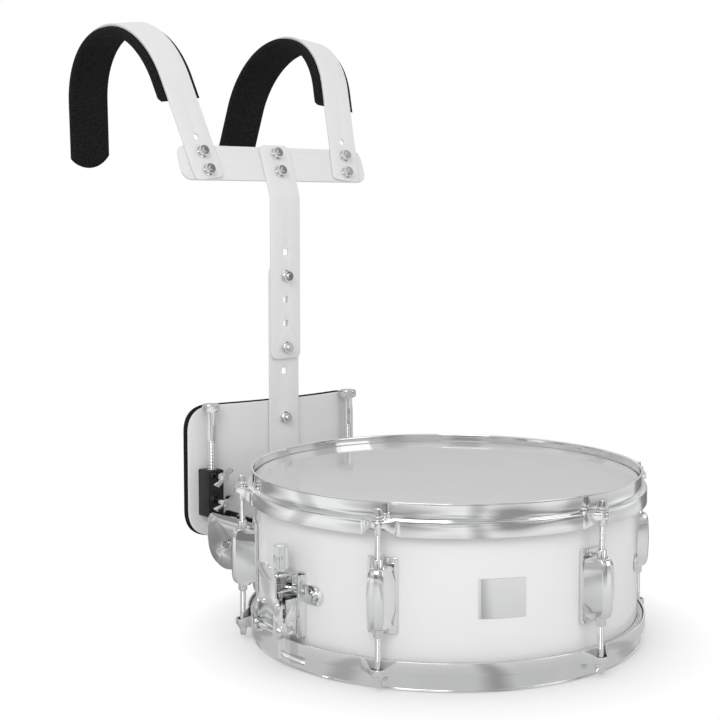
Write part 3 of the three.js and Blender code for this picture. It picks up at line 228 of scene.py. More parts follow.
def floor_material():
    """Keeps the shadow near the drum, is white further out, and in mirrors is patchy with a painted
    shadow near the drum.
    """
    material = bpy.data.materials.new("white_floor")
    material.use_nodes = True
    tree = material.node_tree
    shader = tree.nodes["Principled BSDF"]
    shader.inputs["Base Color"].default_value = (0.9, 0.9, 0.9, 1)
    shader.inputs["Roughness"].default_value = 0.8
    shader.inputs["Specular IOR Level"].default_value = 0.2
    place = node(tree, "ShaderNodeTexCoord").outputs["Object"]
    flat = node(tree, "ShaderNodeVectorMath", {0: place, 1: (1, 1, 0)}, operation="MULTIPLY")
    far = node(tree, "ShaderNodeVectorMath", {0: flat.outputs["Vector"]}, operation="LENGTH")
    far = far.outputs["Value"]
    seen = node(tree, "ShaderNodeLightPath").outputs
    ring = grey_ramp(tree, far, 1.0, 1.0, SHADOW_RING)
    paper = node(tree, "ShaderNodeEmission", {"Color": WHITE, "Strength": 1.0})
    direct = either(tree, maths(tree, "MULTIPLY", ring, seen["Is Camera Ray"]), shader, paper)
    patches = node(tree, "ShaderNodeTexNoise", {"Vector": place, "Scale": 1.1, "Detail": 1.0})
    patchy = spread(tree, patches.outputs["Fac"], (0.38, 0.6), (0.34, 1.0))
    # In mirrors the floor is painted darker near the drum: a painted shadow of the drum.
    near = spread(tree, far, (0.2, 0.7), (0.6, 1.0))
    mirrored_patches_with_painted_shadow = maths(tree, "MULTIPLY", patchy, near)
    shaded = maths(tree, "MULTIPLY", mirrored_patches_with_painted_shadow, dark_flags(tree, place, FLOOR_FLAGS))
    mirrored = node(tree, "ShaderNodeEmission", {"Color": WHITE, "Strength": shaded})
    result = either(tree, seen["Is Glossy Ray"], direct, mirrored)
    tree.links.new(result.outputs[0], tree.nodes["Material Output"].inputs["Surface"])
    return material


def white_floor(radius, height):
    """A disc under the drum."""
    bm = bmesh.new()
    bmesh.ops.create_circle(bm, cap_ends=True, segments=96, radius=radius)
    for vertex in bm.verts:
        vertex.co.z = height
    mesh = bpy.data.meshes.new("floor")
    bm.to_mesh(mesh)
    bm.free()
    mesh.materials.append(floor_material())
    placed("floor", mesh)


studio_world()
white_floor(3.0, at(0, 0, FLOOR_HEIGHT).z)
print("floor at", round(at(0, 0, FLOOR_HEIGHT).z, 4), "m")

# %% Lamps
# Each lamp: name, place, target, width and height in metres, and power in watts.
LAMPS = (
    ("key_box", (-1.9, -1.2, 1.7), (0, 0, 0), 1.4, 1.4, 23.5),
    ("fill_box", (0.9, -2.4, 1.0), (0, 0, 0), 1.2, 1.6, 8),
    ("back_box", (1.2, 1.8, 2.2), (0, 0.1, 0.1), 2.4, 2.0, 6),
)
for name, place, target, width, height, watts in LAMPS:
    lamp = bpy.data.lights.new(name, "AREA")
    lamp.shape = "RECTANGLE"
    lamp.size = width
    lamp.size_y = height
    lamp.energy = watts
    box = placed(name, lamp)
    box.location = place
    aim = Vector(target) - Vector(place)
    box.rotation_euler = aim.to_track_quat("-Z", "Y").to_euler()
print("lamps:", [row[0] for row in LAMPS])

# %% [markdown]
# ## Shared surface effects
#
# Real surfaces are never quite even. Paint has a faint orange peel, polished metal has fine
# marks from the buffing wheel, and foam is full of small pores. Each effect could be an image,
# but noise that is worked out from the object's own coordinates stays sharp at any distance and
# needs no unwrapping. Three small node groups hold these effects, and every material uses them.

# %% Shared effects


def with_sockets(tree, inputs, outputs):
    """Gives a tree named sockets. A number or tuple is a default, a word names a kind."""
    kinds = {int: "Int", float: "Float", tuple: "Vector"}
    for label, value in inputs.items():
        kind = value if isinstance(value, str) else kinds[type(value)]
        socket = tree.interface.new_socket(label, in_out="INPUT", socket_type="NodeSocket" + kind)
        if not isinstance(value, str):
            socket.default_value = value
    for label, kind in outputs.items():
        tree.interface.new_socket(label, in_out="OUTPUT", socket_type="NodeSocket" + kind)
    return tree.nodes.new("NodeGroupInput").outputs, tree.nodes.new("NodeGroupOutput").inputs


def effect_group(name, inputs, output, kind):
    """An empty shader group that works on a place and puts out one socket."""
    tree = bpy.data.node_groups.new(name, "ShaderNodeTree")
    return tree, *with_sockets(tree, {"Vector": "Vector", **inputs}, {output: kind})


def noise(tree, place, scale, **values):
    inputs = {"Vector": place, "Scale": scale, **values}
    return node(tree, "ShaderNodeTexNoise", inputs).outputs["Fac"]


def make_mottle():
    """Slow, cloudy variation between two levels."""
    inputs = {"Scale": 8.0, "Low": 0.0, "High": 1.0}
    tree, start, end = effect_group("cloudy_variation", inputs, "Value", "Float")
    cloud = noise(tree, start["Vector"], start["Scale"], Detail=4.0, Roughness=0.55)
    tree.links.new(spread(tree, cloud, (0.3, 0.7), (start["Low"], start["High"])), end["Value"])
    return tree


def make_relief():
    """Fine grain as a normal, with its own scale and height."""
    inputs = {"Scale": 900.0, "Height": 0.0001, "Strength": 0.3}
    tree, start, end = effect_group("fine_relief", inputs, "Normal", "Vector")
    grain = noise(tree, start["Vector"], start["Scale"], Detail=3.0, Roughness=0.6)
    values = {"Height": grain, "Distance": start["Height"], "Strength": start["Strength"]}
    tree.links.new(node(tree, "ShaderNodeBump", values).outputs["Normal"], end["Normal"])
    return tree


def make_buffing():
    """Thin, long marks that run round or along a polished piece, as a roughness mask."""
    inputs = {"Stretch": (40.0, 40.0, 900.0), "Low": 0.04, "High": 0.12}
    tree, start, end = effect_group("buffing_marks", inputs, "Roughness", "Float")
    values = {0: start["Vector"], 1: start["Stretch"]}
    drawn = node(tree, "ShaderNodeVectorMath", values, operation="MULTIPLY").outputs["Vector"]
    fine = noise(tree, drawn, 1.0, Detail=5.0, Roughness=0.7)
    broad = noise(tree, start["Vector"], 14.0, Detail=2.0)
    both = maths(tree, "MULTIPLY", fine, broad)
    level = spread(tree, both, (0.12, 0.42), (start["Low"], start["High"]))
    tree.links.new(level, end["Roughness"])
    return tree


MOTTLE = make_mottle()
RELIEF = make_relief()
BUFFING = make_buffing()
print("effects:", MOTTLE.name, RELIEF.name, BUFFING.name)

# %% [markdown]
# ## Materials
#
# Eight finishes cover the whole object: the glossy white wrap, the milky film of the heads,
# chrome, white satin paint, black foam, black moulded plastic, steel wire and the clear strip of
# the snare straps. Each starts from a Principled shader. Colour, roughness and normal come from
# the shared effects, and all other values are set on the shader itself.

# %% Material helpers


class Finish:
    """A Principled material with its own object coordinates at hand."""

    def __init__(self, name, colour, roughness, **shader_values):
        self.material = bpy.data.materials.new(name)
        self.material.use_nodes = True
        self.tree = self.material.node_tree
        self.shader = self.tree.nodes["Principled BSDF"]
        self.shader.inputs["Base Color"].default_value = (*colour, 1)
        self.shader.inputs["Roughness"].default_value = roughness
        for key, value in shader_values.items():
            self.shader.inputs[key.replace("_", " ")].default_value = value
        self.coordinates = node(self.tree, "ShaderNodeTexCoord").outputs["Object"]
        self.material.diffuse_color = (*colour, 1)

    def feed(self, label, output):
        self.tree.links.new(output, self.shader.inputs[label])

    def effect(self, group, **values):
        inputs = {"Vector": self.coordinates, **values}
        return node(self.tree, "ShaderNodeGroup", inputs, node_tree=group).outputs[0]

    def two_colours(self, share, first, second):
        """Base colour that wanders between two near shades."""
        inputs = {0: share, 6: (*first, 1), 7: (*second, 1)}
        mix = node(self.tree, "ShaderNodeMix", inputs, data_type="RGBA")
        self.feed("Base Color", mix.outputs[2])

    def cloudy_colour(self, dark, light, scale):
        self.two_colours(self.effect(MOTTLE, Scale=scale), dark, light)

    def cloudy_roughness(self, low, high, scale):
        self.feed("Roughness", self.effect(MOTTLE, Scale=scale, Low=low, High=high))

    def buffed(self, low, high):
        self.feed("Roughness", self.effect(BUFFING, Low=low, High=high))

    def relief(self, scale, height, strength):
        values = {"Scale": scale, "Height": height, "Strength": strength}
        self.feed("Normal", self.effect(RELIEF, **values))

    def bumpy(self, height, **values):
        bump = node(self.tree, "ShaderNodeBump", {"Height": height, **values})
        self.feed("Normal", bump.outputs["Normal"])


# %% The eight finishes


def make_wrap():
    made = Finish("white_wrap", (0.88, 0.88, 0.875), 0.16, Specular_IOR_Level=0.5)
    made.cloudy_colour((0.865, 0.866, 0.866), (0.89, 0.89, 0.888), 9.0)
    made.cloudy_roughness(0.12, 0.2, 22.0)
    made.relief(320.0, 0.00004, 0.12)
    return made.material


def make_film():
    made = Finish("milky_film", grey(0.6), 0.16, Specular_IOR_Level=0.35)
    made.cloudy_colour(grey(0.6), grey(0.625), 16.0)
    made.cloudy_roughness(0.05, 0.09, 30.0)
    made.relief(1400.0, 0.00002, 0.05)
    return made.material


def make_chrome():
    made = Finish("chrome", (0.82, 0.825, 0.83), 0.07, Metallic=1.0)
    made.buffed(0.03, 0.13)
    made.cloudy_colour((0.8, 0.805, 0.81), (0.84, 0.845, 0.85), 40.0)
    return made.material


def make_paint():
    made = Finish("white_paint", (0.84, 0.84, 0.84), 0.34, Specular_IOR_Level=0.45)
    made.cloudy_colour((0.825, 0.826, 0.828), (0.85, 0.85, 0.85), 12.0)
    made.cloudy_roughness(0.28, 0.42, 35.0)
    made.relief(650.0, 0.00008, 0.2)
    return made.material


def make_foam():
    made = Finish("black_foam", grey(0.012), 0.92, Specular_IOR_Level=0.2)
    inputs = {"Vector": made.coordinates, "Scale": 620.0, "Randomness": 1.0}
    pores = node(made.tree, "ShaderNodeTexVoronoi", inputs).outputs["Distance"]
    hollow = spread(made.tree, pores, (0.1, 0.75))
    fuzz = made.effect(RELIEF, Scale=2600.0, Height=0.0001, Strength=0.4)
    made.bumpy(hollow, Strength=0.75, Distance=0.0005, Normal=fuzz)
    made.two_colours(hollow, (0.022, 0.022, 0.023), grey(0.005))
    return made.material


def make_plastic():
    made = Finish("black_plastic", grey(0.014), 0.45, Specular_IOR_Level=0.4)
    made.cloudy_colour(grey(0.011), grey(0.019), 60.0)
    made.cloudy_roughness(0.38, 0.56, 90.0)
    made.relief(1500.0, 0.00015, 0.35)
    return made.material


def make_wire():
    made = Finish("steel_wire", (0.62, 0.625, 0.63), 0.25, Metallic=1.0)
    made.buffed(0.18, 0.34)
    made.cloudy_colour((0.58, 0.585, 0.59), (0.68, 0.685, 0.69), 120.0)
    return made.material


def make_strip():
    made = Finish("nylon_tape", (0.9, 0.91, 0.91), 0.14, Alpha=0.22)
    made.cloudy_roughness(0.1, 0.22, 60.0)
    inputs = {"Vector": made.coordinates, "Scale": 190.0, "Distortion": 0.4}
    ribs = node(made.tree, "ShaderNodeTexWave", inputs, bands_direction="Y")
    made.bumpy(ribs.outputs["Fac"], Strength=0.25, Distance=0.0001)
    return made.material


FINISHES = {
    "white_wrap": make_wrap(),
    "milky_film": make_film(),
    "chrome": make_chrome(),
    "white_paint": make_paint(),
    "black_foam": make_foam(),
    "black_plastic": make_plastic(),
    "steel_wire": make_wire(),
    "nylon_tape": make_strip(),
}
print("finishes:", ", ".join(FINISHES))

# %% [markdown]
# ## Helpers for shapes
#
# Four kinds of shape make up most of the drum: things turned on an axis, things lofted through
# rings of points, flat sheets cut to an outline, and solids whose shape is already right and
# only need their edges softened. All helpers return an object whose place is in its mesh.

# %% Mesh helpers


def add_mesh(name, points, faces, finish, sharp=38):
    """A closed mesh from places in metres, shaded smooth except at sharp edges."""
    mesh = bpy.data.meshes.new(name)
    mesh.from_pydata([tuple(p) for p in points], [], faces)
    bm = bmesh.new()
    bm.from_mesh(mesh)
    bmesh.ops.remove_doubles(bm, verts=bm.verts, dist=0.002 * MM)
    bmesh.ops.recalc_face_normals(bm, faces=bm.faces)
    bm.to_mesh(mesh)
    bm.free()
    return dress(placed(name, mesh), finish, sharp)


def dress(made, finish, sharp=38):
    """Gives a mesh its finish and smooth shading."""
    mesh = made.data
    mesh.materials.clear()
    mesh.materials.append(FINISHES[finish])
    for polygon in mesh.polygons:
        polygon.material_index = 0
    mesh.shade_smooth()
    mesh.set_sharp_from_angle(angle=radians(sharp))
    return made


def settle(made, body, finish, *nodes):
    """The piece rides on its body and stands for its solids, which are hidden."""
    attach(made, body)
    if nodes:
        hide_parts(*nodes)
    return made


def rounded(points, radius, steps=3):
    """A flat outline with its corners rounded; a radius for each corner, or one for all."""
    count = len(points)
    radii = radius if isinstance(radius, (list, tuple)) else [radius] * count
    made = []
    for i, corner in enumerate(points):
        if radii[i] <= 0:
            made.append(tuple(corner))
            continue
        here = Vector(corner)
        before = Vector(points[i - 1]) - here
        after = Vector(points[(i + 1) % count]) - here
        cut = radii[i] / tan(before.angle(after) / 2)
        cut = min(cut, before.length * 0.49, after.length * 0.49)
        start = here + before.normalized() * cut
        end = here + after.normalized() * cut
        for step in range(steps + 1):
            share = step / steps
            made.append(tuple(start.lerp(here, share).lerp(here.lerp(end, share), share)))
    return made


def soft_outline(corners, steps=3):
    """An outline from rows of (x, y, rounding)."""
    return rounded([corner[:2] for corner in corners], [corner[2] for corner in corners], steps)


def lofted(name, rings, finish, sharp=38, wrap=False):
    """Rings of places joined in their order, closed in a circle or with a cap on each end."""
    count = len(rings[0])
    points = [point for ring in rings for point in ring]
    faces = []
    for k in range(len(rings) if wrap else len(rings) - 1):
        here, there = k * count, (k + 1) % len(rings) * count
        for i in range(count):
            j = (i + 1) % count
            faces.append((here + i, here + j, there + j, there + i))
    if not wrap:
        faces += [tuple(range(count)), tuple(range(len(points) - count, len(points)))]
    return add_mesh(name, points, clean_faces(points, faces), finish, sharp)


def clean_faces(points, faces):
    """Leaves out the empty side of a face that touches the axis."""
    made = []
    for face in faces:
        if len(face) > 4:
            made.append(face)
            continue
        kept = []
        for index in face:
            if all((Vector(points[index]) - Vector(points[k])).length > 1e-8 for k in kept):
                kept.append(index)
        if len(kept) > 2:
            made.append(kept)
    return made


def turned(name, profile, finish, turns=192, spin=at, sharp=38):
    """A profile of (radius, height) turned about the drum's axis, or about another by spin."""
    angles = [2 * pi * k / turns for k in range(turns)]
    rings = [[spin(r * cos(a), r * sin(a), h) for r, h in profile] for a in angles]
    return lofted(name, rings, finish, sharp, wrap=True)


def evaluated(made):
    """The plain mesh that an object's curve or modifiers give."""
    depsgraph = bpy.context.evaluated_depsgraph_get()
    return bpy.data.meshes.new_from_object(made.evaluated_get(depsgraph), depsgraph=depsgraph)


def applied(made):
    """The object with its modifiers worked into its mesh."""
    mesh = evaluated(made)
    made.modifiers.clear()
    made.data = mesh
    return made


def softened(made, width, segments, angle=30):
    """The piece with a small bevel on the edges that are sharper than an angle."""
    bevel = made.modifiers.new("soft_edge", "BEVEL")
    bevel.width = width * MM
    bevel.segments = segments
    bevel.limit_method = "ANGLE"
    bevel.angle_limit = radians(angle)
    return applied(made)


def copied(node_name, name, finish, edge=0.3, steps=2, sharp=38):
    """A copy of a solid with its triangles merged and its edges softened."""
    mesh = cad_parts[node_name].data.copy()
    mesh.name = name
    bm = bmesh.new()
    bm.from_mesh(mesh)
    bmesh.ops.remove_doubles(bm, verts=bm.verts, dist=0.004 * MM)
    bmesh.ops.dissolve_limit(bm, angle_limit=radians(0.6), verts=bm.verts, edges=bm.edges)
    bm.to_mesh(mesh)
    bm.free()
    return dress(softened(placed(name, mesh), edge, steps, sharp), finish, sharp)


def gathered(name, parts, finish, sharp=38):
    """Several pieces of one finish as a single object."""
    bm = bmesh.new()
    for part in parts:
        bm.from_mesh(part.data)
        bpy.data.objects.remove(part)
    mesh = bpy.data.meshes.new(name)
    bm.to_mesh(mesh)
    bm.free()
    return dress(placed(name, mesh), finish, sharp)


def carved(made, *cutters):
    """The piece less its cutters, which are used up."""
    for cutter in cutters:
        taken = made.modifiers.new("cut", "BOOLEAN")
        taken.operation = "DIFFERENCE"
        taken.solver = "EXACT"
        taken.object = cutter
        made = applied(made)
        bpy.data.objects.remove(cutter)
    return made


def triangles(made):
    return sum(len(p.vertices) - 2 for p in made.data.polygons)


print("helpers ready")

# %% [markdown]
# ## Sheets cut to an outline
#
# Bars, plates, brackets and pads all start as a flat blank. A filled two-dimensional curve is the
# quickest blank in Blender: it takes holes as further splines, and its extrude and bevel give the
# thickness and a rounded rim. The blank is then cut across at even steps, so that it can be bent,
# and a small function says where each point of the flat blank goes.

# %% Blanks


def blank(name, outline, holes, thickness, edge, steps=2):
    """A flat sheet in X and Y, with its thickness from 0 up along Z, in millimetres."""
    data = bpy.data.curves.new(name, "CURVE")
    data.dimensions = "2D"
    data.fill_mode = "BOTH"
    for ring in [outline, *holes]:
        spline = data.splines.new("POLY")
        spline.points.add(len(ring) - 1)
        for point, (x, y) in zip(spline.points, ring):
            point.co = (x, y, 0, 1)
        spline.use_cyclic_u = True
    data.extrude = thickness / 2 - edge
    data.bevel_depth = edge
    data.bevel_resolution = steps - 1
    data.offset = -edge
    made = placed(name, data)
    mesh = evaluated(made)
    bpy.data.objects.remove(made)
    mesh.transform(Matrix.Translation((0, 0, thickness / 2)))
    return mesh


def bent(name, mesh, finish, place, cuts=(), across=(), sharp=38):
    """A blank cut at heights along Y and at places along X, then laid where place says."""
    bm = bmesh.new()
    bm.from_mesh(mesh)
    bmesh.ops.remove_doubles(bm, verts=bm.verts, dist=0.002)
    for axis, places in ((Vector((0, 1, 0)), cuts), (Vector((1, 0, 0)), across)):
        for value in places:
            parts = list(bm.verts) + list(bm.edges) + list(bm.faces)
            bmesh.ops.bisect_plane(bm, geom=parts, dist=0.001, plane_co=axis * value, plane_no=axis)
    for vertex in bm.verts:
        vertex.co = place(*vertex.co)
    bmesh.ops.remove_doubles(bm, verts=bm.verts, dist=0.001 * MM)
    bmesh.ops.recalc_face_normals(bm, faces=bm.faces)
    bm.to_mesh(mesh)
    bm.free()
    return dress(placed(name, mesh), finish, sharp)


def even(start, end, step):
    """Places from start to end, both left out, at about one step."""
    count = max(1, round(abs(end - start) / step))
    return [start + (end - start) * i / count for i in range(1, count)]


def box_outline(left, right, low, high, corner, steps=5):
    corners = [(left, low), (right, low), (right, high), (left, high)]
    return rounded(corners, corner, steps)


def circle(x, y, radius, sides=20):
    angles = [2 * pi * k / sides for k in range(sides)]
    return [(x + radius * cos(a), y + radius * sin(a)) for a in angles]


def around(radius, angle, place=at):
    """Lays a blank on the shell: X runs round it, Y is the height and Z stands off it."""

    def lay(x, y, z):
        turn = radians(angle) + x / radius
        out = radius + z
        return place(out * sin(turn), -out * cos(turn), y)

    return lay


print("blank helpers ready")

# %% [markdown]
# ## Geometry Nodes helpers
#
# Lugs, bolts, screws and wire turns repeat, so one node tree places them all: it takes a mesh of
# points, each with its own turn, and sets one shape on every point. Other trees shape a plain
# cylinder by rule, into a thread or a fluted knob. Their results are made plain meshes at once.

# %% Geometry Nodes helpers


def new_tree(name, inputs):
    """A geometry tree with named inputs and a material."""
    tree = bpy.data.node_groups.new(name, "GeometryNodeTree")
    inputs = {"Geometry": "Geometry", **inputs, "Material": "Material"}
    return tree, *with_sockets(tree, inputs, {"Geometry": "Geometry"})


def finished_tree(tree, geometry, start, end):
    """Closes a tree with Realize Instances and Set Material."""
    real = node(tree, "GeometryNodeRealizeInstances", {0: geometry})
    inputs = {"Geometry": real.outputs[0], "Material": start["Material"]}
    tree.links.new(node(tree, "GeometryNodeSetMaterial", inputs).outputs[0], end[0])
    return tree


def grown(name, tree, values, finish, points=None, turns=None, sharp=38):
    """Runs a tree on points, each with a turn, and keeps the plain mesh."""
    mesh = bpy.data.meshes.new(name)
    mesh.from_pydata([tuple(p) for p in (points or [(0, 0, 0)])], [], [])
    if turns:
        stored = mesh.attributes.new("turn", "FLOAT_VECTOR", "POINT")
        for i, turn in enumerate(turns):
            stored.data[i].vector = turn
    seedling = placed(name + "_seed", mesh)
    modifier = seedling.modifiers.new("grow", "NODES")
    modifier.node_group = tree
    sockets = {s.name: s.identifier for s in tree.interface.items_tree if s.in_out == "INPUT"}
    for label, value in values.items():
        modifier[sockets[label]] = value
    modifier[sockets["Material"]] = FINISHES[finish]
    grown_mesh = evaluated(seedling)
    bpy.data.objects.remove(seedling)
    grown_mesh.name = name
    return dress(placed(name, grown_mesh), finish, sharp)


def make_setter():
    """Sets one object on every point, each turned by its own attribute."""
    tree, start, end = new_tree("set_on_points", {"Shape": "Object", "Size": 1.0})
    shape = node(tree, "GeometryNodeObjectInfo", {"Object": start["Shape"]})
    turn = node(
        tree, "GeometryNodeInputNamedAttribute", {"Name": "turn"}, data_type="FLOAT_VECTOR"
    )
    inputs = {
        "Points": start["Geometry"],
        "Instance": shape.outputs["Geometry"],
        "Rotation": turn.outputs["Attribute"],
        "Scale": start["Size"],
    }
    setting = node(tree, "GeometryNodeInstanceOnPoints", inputs)
    return finished_tree(tree, setting.outputs[0], start, end)


def own_place(tree):
    """The three parts of a point's place."""
    place = node(tree, "GeometryNodeInputPosition").outputs[0]
    return node(tree, "ShaderNodeSeparateXYZ", {0: place}).outputs


def reshaped(tree, rod, parts, factor, start, end):
    """Draws a cylinder's wall in or out by a factor and stands it at its middle."""
    wide = {i: maths(tree, "MULTIPLY", parts[i], factor) for i in (0, 1)}
    spot = node(tree, "ShaderNodeCombineXYZ", {**wide, 2: parts["Z"]}).outputs[0]
    inputs = {"Geometry": rod.outputs["Mesh"], "Position": spot}
    moved = node(tree, "GeometryNodeSetPosition", inputs).outputs[0]
    inputs = {"Geometry": moved, "Translation": start["Middle"]}
    stood = node(tree, "GeometryNodeTransform", inputs).outputs[0]
    return finished_tree(tree, stood, start, end)


def make_thread():
    """A cylinder whose wall follows a screw thread."""
    inputs = {
        "Radius": 0.003,
        "Depth": 0.0004,
        "Pitch": 0.001,
        "Length": 0.01,
        "Sides": 20,
        "Rings": 60,
        "Middle": (0, 0, 0),
    }
    tree, start, end = new_tree("screw_thread", inputs)
    inputs = {
        "Vertices": start["Sides"],
        "Side Segments": start["Rings"],
        "Radius": start["Radius"],
        "Depth": start["Length"],
    }
    rod = node(tree, "GeometryNodeMeshCylinder", inputs)
    parts = own_place(tree)
    angle = maths(tree, "ARCTAN2", parts["Y"], parts["X"])
    round_share = maths(tree, "DIVIDE", angle, 2 * pi)
    along = maths(tree, "DIVIDE", parts["Z"], start["Pitch"])
    phase = maths(tree, "FRACT", maths(tree, "SUBTRACT", along, round_share))
    ridge = maths(tree, "ABSOLUTE", maths(tree, "MULTIPLY_ADD", phase, 2.0, -1.0))
    cut = maths(tree, "DIVIDE", start["Depth"], start["Radius"])
    factor = maths(tree, "SUBTRACT", 1.0, maths(tree, "MULTIPLY", ridge, cut))
    return reshaped(tree, rod, parts, factor, start, end)


SETTER = make_setter()
THREAD = make_thread()
RINGS_A_TURN = 6


def thread(name, radius, depth, pitch, low, high, place, sides=20):
    """An upright threaded length between two heights, at the place that a function gives."""
    length = high - low
    values = {
        "Radius": radius * MM,
        "Depth": depth * MM,
        "Pitch": pitch * MM,
        "Length": length * MM,
        "Sides": sides,
        "Rings": max(2, round(length / pitch * RINGS_A_TURN)),
        "Middle": place(0, 0, (low + high) / 2),
    }
    return grown(name, THREAD, values, "chrome", sharp=70)


def set_on(name, shape, finish, places, turns, sharp=38):
    """Copies of one shape at places in metres, which uses the shape up."""
    made = grown(name, SETTER, {"Shape": shape, "Size": 1.0}, finish, places, turns, sharp)
    bpy.data.objects.remove(shape)
    return made


print("trees:", SETTER.name, THREAD.name)

# %% [markdown]
# ## The shell
#
# A snare drum's shell is a bent plywood tube under a glossy plastic wrap. It could be a cylinder
# with thickness, but turning its real profile gives the bearing edges as well. One edge of the
# wrap laps over the other at the back in a thin upright seam, and a small hole with a metal
# grommet lets the air out.

# %% Shell
SHELL_RADIUS = 177.8
SHELL_WALL = 6.0
LUG_SEAT = 178.1
VENT_TURN = radians(30)
SEAM_ANGLE = 208


def on_vent(x, y, h):
    """Turns things about the vent's axis, which runs out from the drum's middle."""
    out = Vector((sin(VENT_TURN), -cos(VENT_TURN), 0))
    side = Vector((cos(VENT_TURN), sin(VENT_TURN), 0))
    return at(0, 0, DRUM_MIDDLE) + (out * h + side * x + Vector((0, 0, y))) * MM


def make_shell():
    inner = SHELL_RADIUS - SHELL_WALL
    corners = [
        (SHELL_RADIUS, SHELL_BOTTOM + 0.2),
        (SHELL_RADIUS, SHELL_TOP - 0.2),
        (SHELL_RADIUS - 1.5, SHELL_TOP),
        (inner, SHELL_TOP - 4.5),
        (inner, SHELL_BOTTOM + 4.5),
        (SHELL_RADIUS - 1.5, SHELL_BOTTOM),
    ]
    made = turned("shell_wrap", rounded(corners, 0.6), "white_wrap", 256)
    hole = [(0, 160), (5.2, 160), (5.2, 190), (0, 190)]
    made = carved(made, turned("vent_cut", hole, "chrome", 32, on_vent))
    return settle(dress(made, "white_wrap"), "drum", "white_wrap", "shell")


def make_grommet():
    ring = [
        (3.6, 171.6),
        (5.0, 171.6),
        (5.0, 178.0),
        (8.2, 178.0),
        (8.2, 178.5),
        (4.6, 179.6),
        (3.6, 178.8),
    ]
    made = turned("vent_grommet", rounded(ring, 0.3), "chrome", 40, on_vent)
    return settle(made, "drum", "chrome")


def make_seam():
    outline = box_outline(-4, 4, SHELL_BOTTOM + 1.2, SHELL_TOP - 1.2, 0.4)
    mesh = blank("wrap_seam", outline, [], 0.3, 0.12)
    lay = around(SHELL_RADIUS - 0.1, SEAM_ANGLE)
    made = bent("wrap_seam", mesh, "white_wrap", lay, across=[-2, 0, 2])
    return settle(made, "drum", "white_wrap")


shell = make_shell()
make_grommet()
make_seam()
print("shell:", triangles(shell), "triangles")

# %% [markdown]
# ## The heads
#
# A head is a plastic film glued into a flat metal hoop. Over the shell's edge the film turns down
# in a tight collar. The profile is turned once and mirrored in height for the snare side. Where
# the film bends at the shell's edge it shows a slightly softer ring.

# %% Heads
# The film's profile: radius, height past the shell's edge and the corner's rounding.
FILM = (
    (0, 0.9, 0),
    (176.4, 0.9, 1.2),
    (178.6, 0.3, 0.9),
    (178.7, -7.6, 0),
    (183.0, -7.6, 0.8),
    (183.0, -15.7, 0.8),
    (178.1, -15.7, 0.3),
    (178.1, 0.0, 0.9),
    (176.2, 0.3, 1.0),
    (0, 0.3, 0),
)


def past_edge(value, side):
    """A height counted outwards from the shell's upper edge (side 1) or lower edge (-1)."""
    return SHELL_TOP + value if side > 0 else SHELL_BOTTOM - value


def make_head(name, node_name, side):
    outer = soft_outline(FILM, 4)
    edge, face = FILM[1][:2]
    rings = [(edge * share, face) for share in (0.25, 0.5, 0.75)]
    profile = [(r, past_edge(h, side)) for r, h in (outer[0], *rings, *outer[1:])]
    head = turned(name, profile, "milky_film", 256)
    return settle(head, "drum", "milky_film", node_name)


batter = make_head("batter_film", "batter_head", 1)
snare_film = make_head("snare_film", "snare_side_head", -1)
print("heads:", triangles(batter), triangles(snare_film), "triangles")

# %% [markdown]
# ## The hoops
#
# A triple-flanged hoop is one strip of steel with three bends: the rolled rim on top, the ledge
# that presses on the head, and the skirt that hangs down outside it. At each lug the skirt flares
# out round the tension rod and forms an ear. The rule is simple enough to write down: the same
# profile runs round the drum, and near a lug its outer corner moves out while its skirt gets
# shorter. Columns stand close together where the shape changes and far apart elsewhere.

# %% Hoops
ROD_CIRCLE = 190.5
LUGS = 6
LUG_STEP = 360 / LUGS
EAR_RADIUS = 6.8
EAR_FLAT = 5.8
EAR_SPREAD = 17.5
EAR_DEPTH = 5.4
SKIRT_OUT = 185.4
UPPER_SKIRT = 13.9
LOWER_SKIRT = 11.3
LEDGE = -5.7
HOOP_SHEET = 1.6
FAR_FROM_LUG = 99.0


def ear_share(distance):
    """1 at the ear's tip and 0 where the skirt runs plain."""
    if distance <= EAR_FLAT:
        return 1.0
    if distance >= EAR_SPREAD:
        return 0.0
    share = (distance - EAR_FLAT) / (EAR_SPREAD - EAR_FLAT)
    return (1 - share) ** 1.5 * (1 - share * 0.15)


def hoop_profile(distance, skirt):
    """Radius and height past the shell's edge, for a distance along the rim from a lug."""
    share = ear_share(distance)
    tip = ROD_CIRCLE + sqrt(max(0.0, EAR_RADIUS**2 - min(distance, EAR_FLAT) ** 2))
    out = SKIRT_OUT + (tip - SKIRT_OUT) * share
    depth = skirt + (EAR_DEPTH - skirt) * share
    corners = [
        (179.2, LEDGE - HOOP_SHEET, 0.5),
        (179.2, 8.4, 1.1),
        (181.7, 8.4, 0.4),
        (181.7, 7.5, 0.4),
        (180.8, 6.8, 0.7),
        (180.8, LEDGE, 0.5),
        (out, LEDGE, 1.0),
        (out, LEDGE - depth, 0.35),
        (out - HOOP_SHEET, LEDGE - depth, 0.35),
        (out - HOOP_SHEET, LEDGE - HOOP_SHEET, 0.6),
    ]
    return soft_outline(corners)


def hoop_angles():
    """Angles round the drum with their distance from the nearest lug."""
    made = []
    near = [degrees(EAR_SPREAD / ROD_CIRCLE) * k / 20 for k in range(-22, 23)]
    for i in range(LUGS):
        middle = i * LUG_STEP
        made += [(middle + a, abs(radians(a)) * ROD_CIRCLE) for a in near]
        between = even(near[-1], LUG_STEP - near[-1], 1.9)
        made += [(middle + a, FAR_FROM_LUG) for a in between]
    return made


def make_hoop(name, side, skirt):
    rings = []
    for angle, distance in hoop_angles():
        turn = radians(angle)
        profile = hoop_profile(distance, skirt)
        rings.append([at(r * sin(turn), -r * cos(turn), past_edge(h, side)) for r, h in profile])
    return lofted(name, rings, "chrome", 50, wrap=True)


def upright(x, y):
    """Turns things about an upright axis through a place on the plan."""
    return lambda a, b, h: at(x + a, y + b, h)


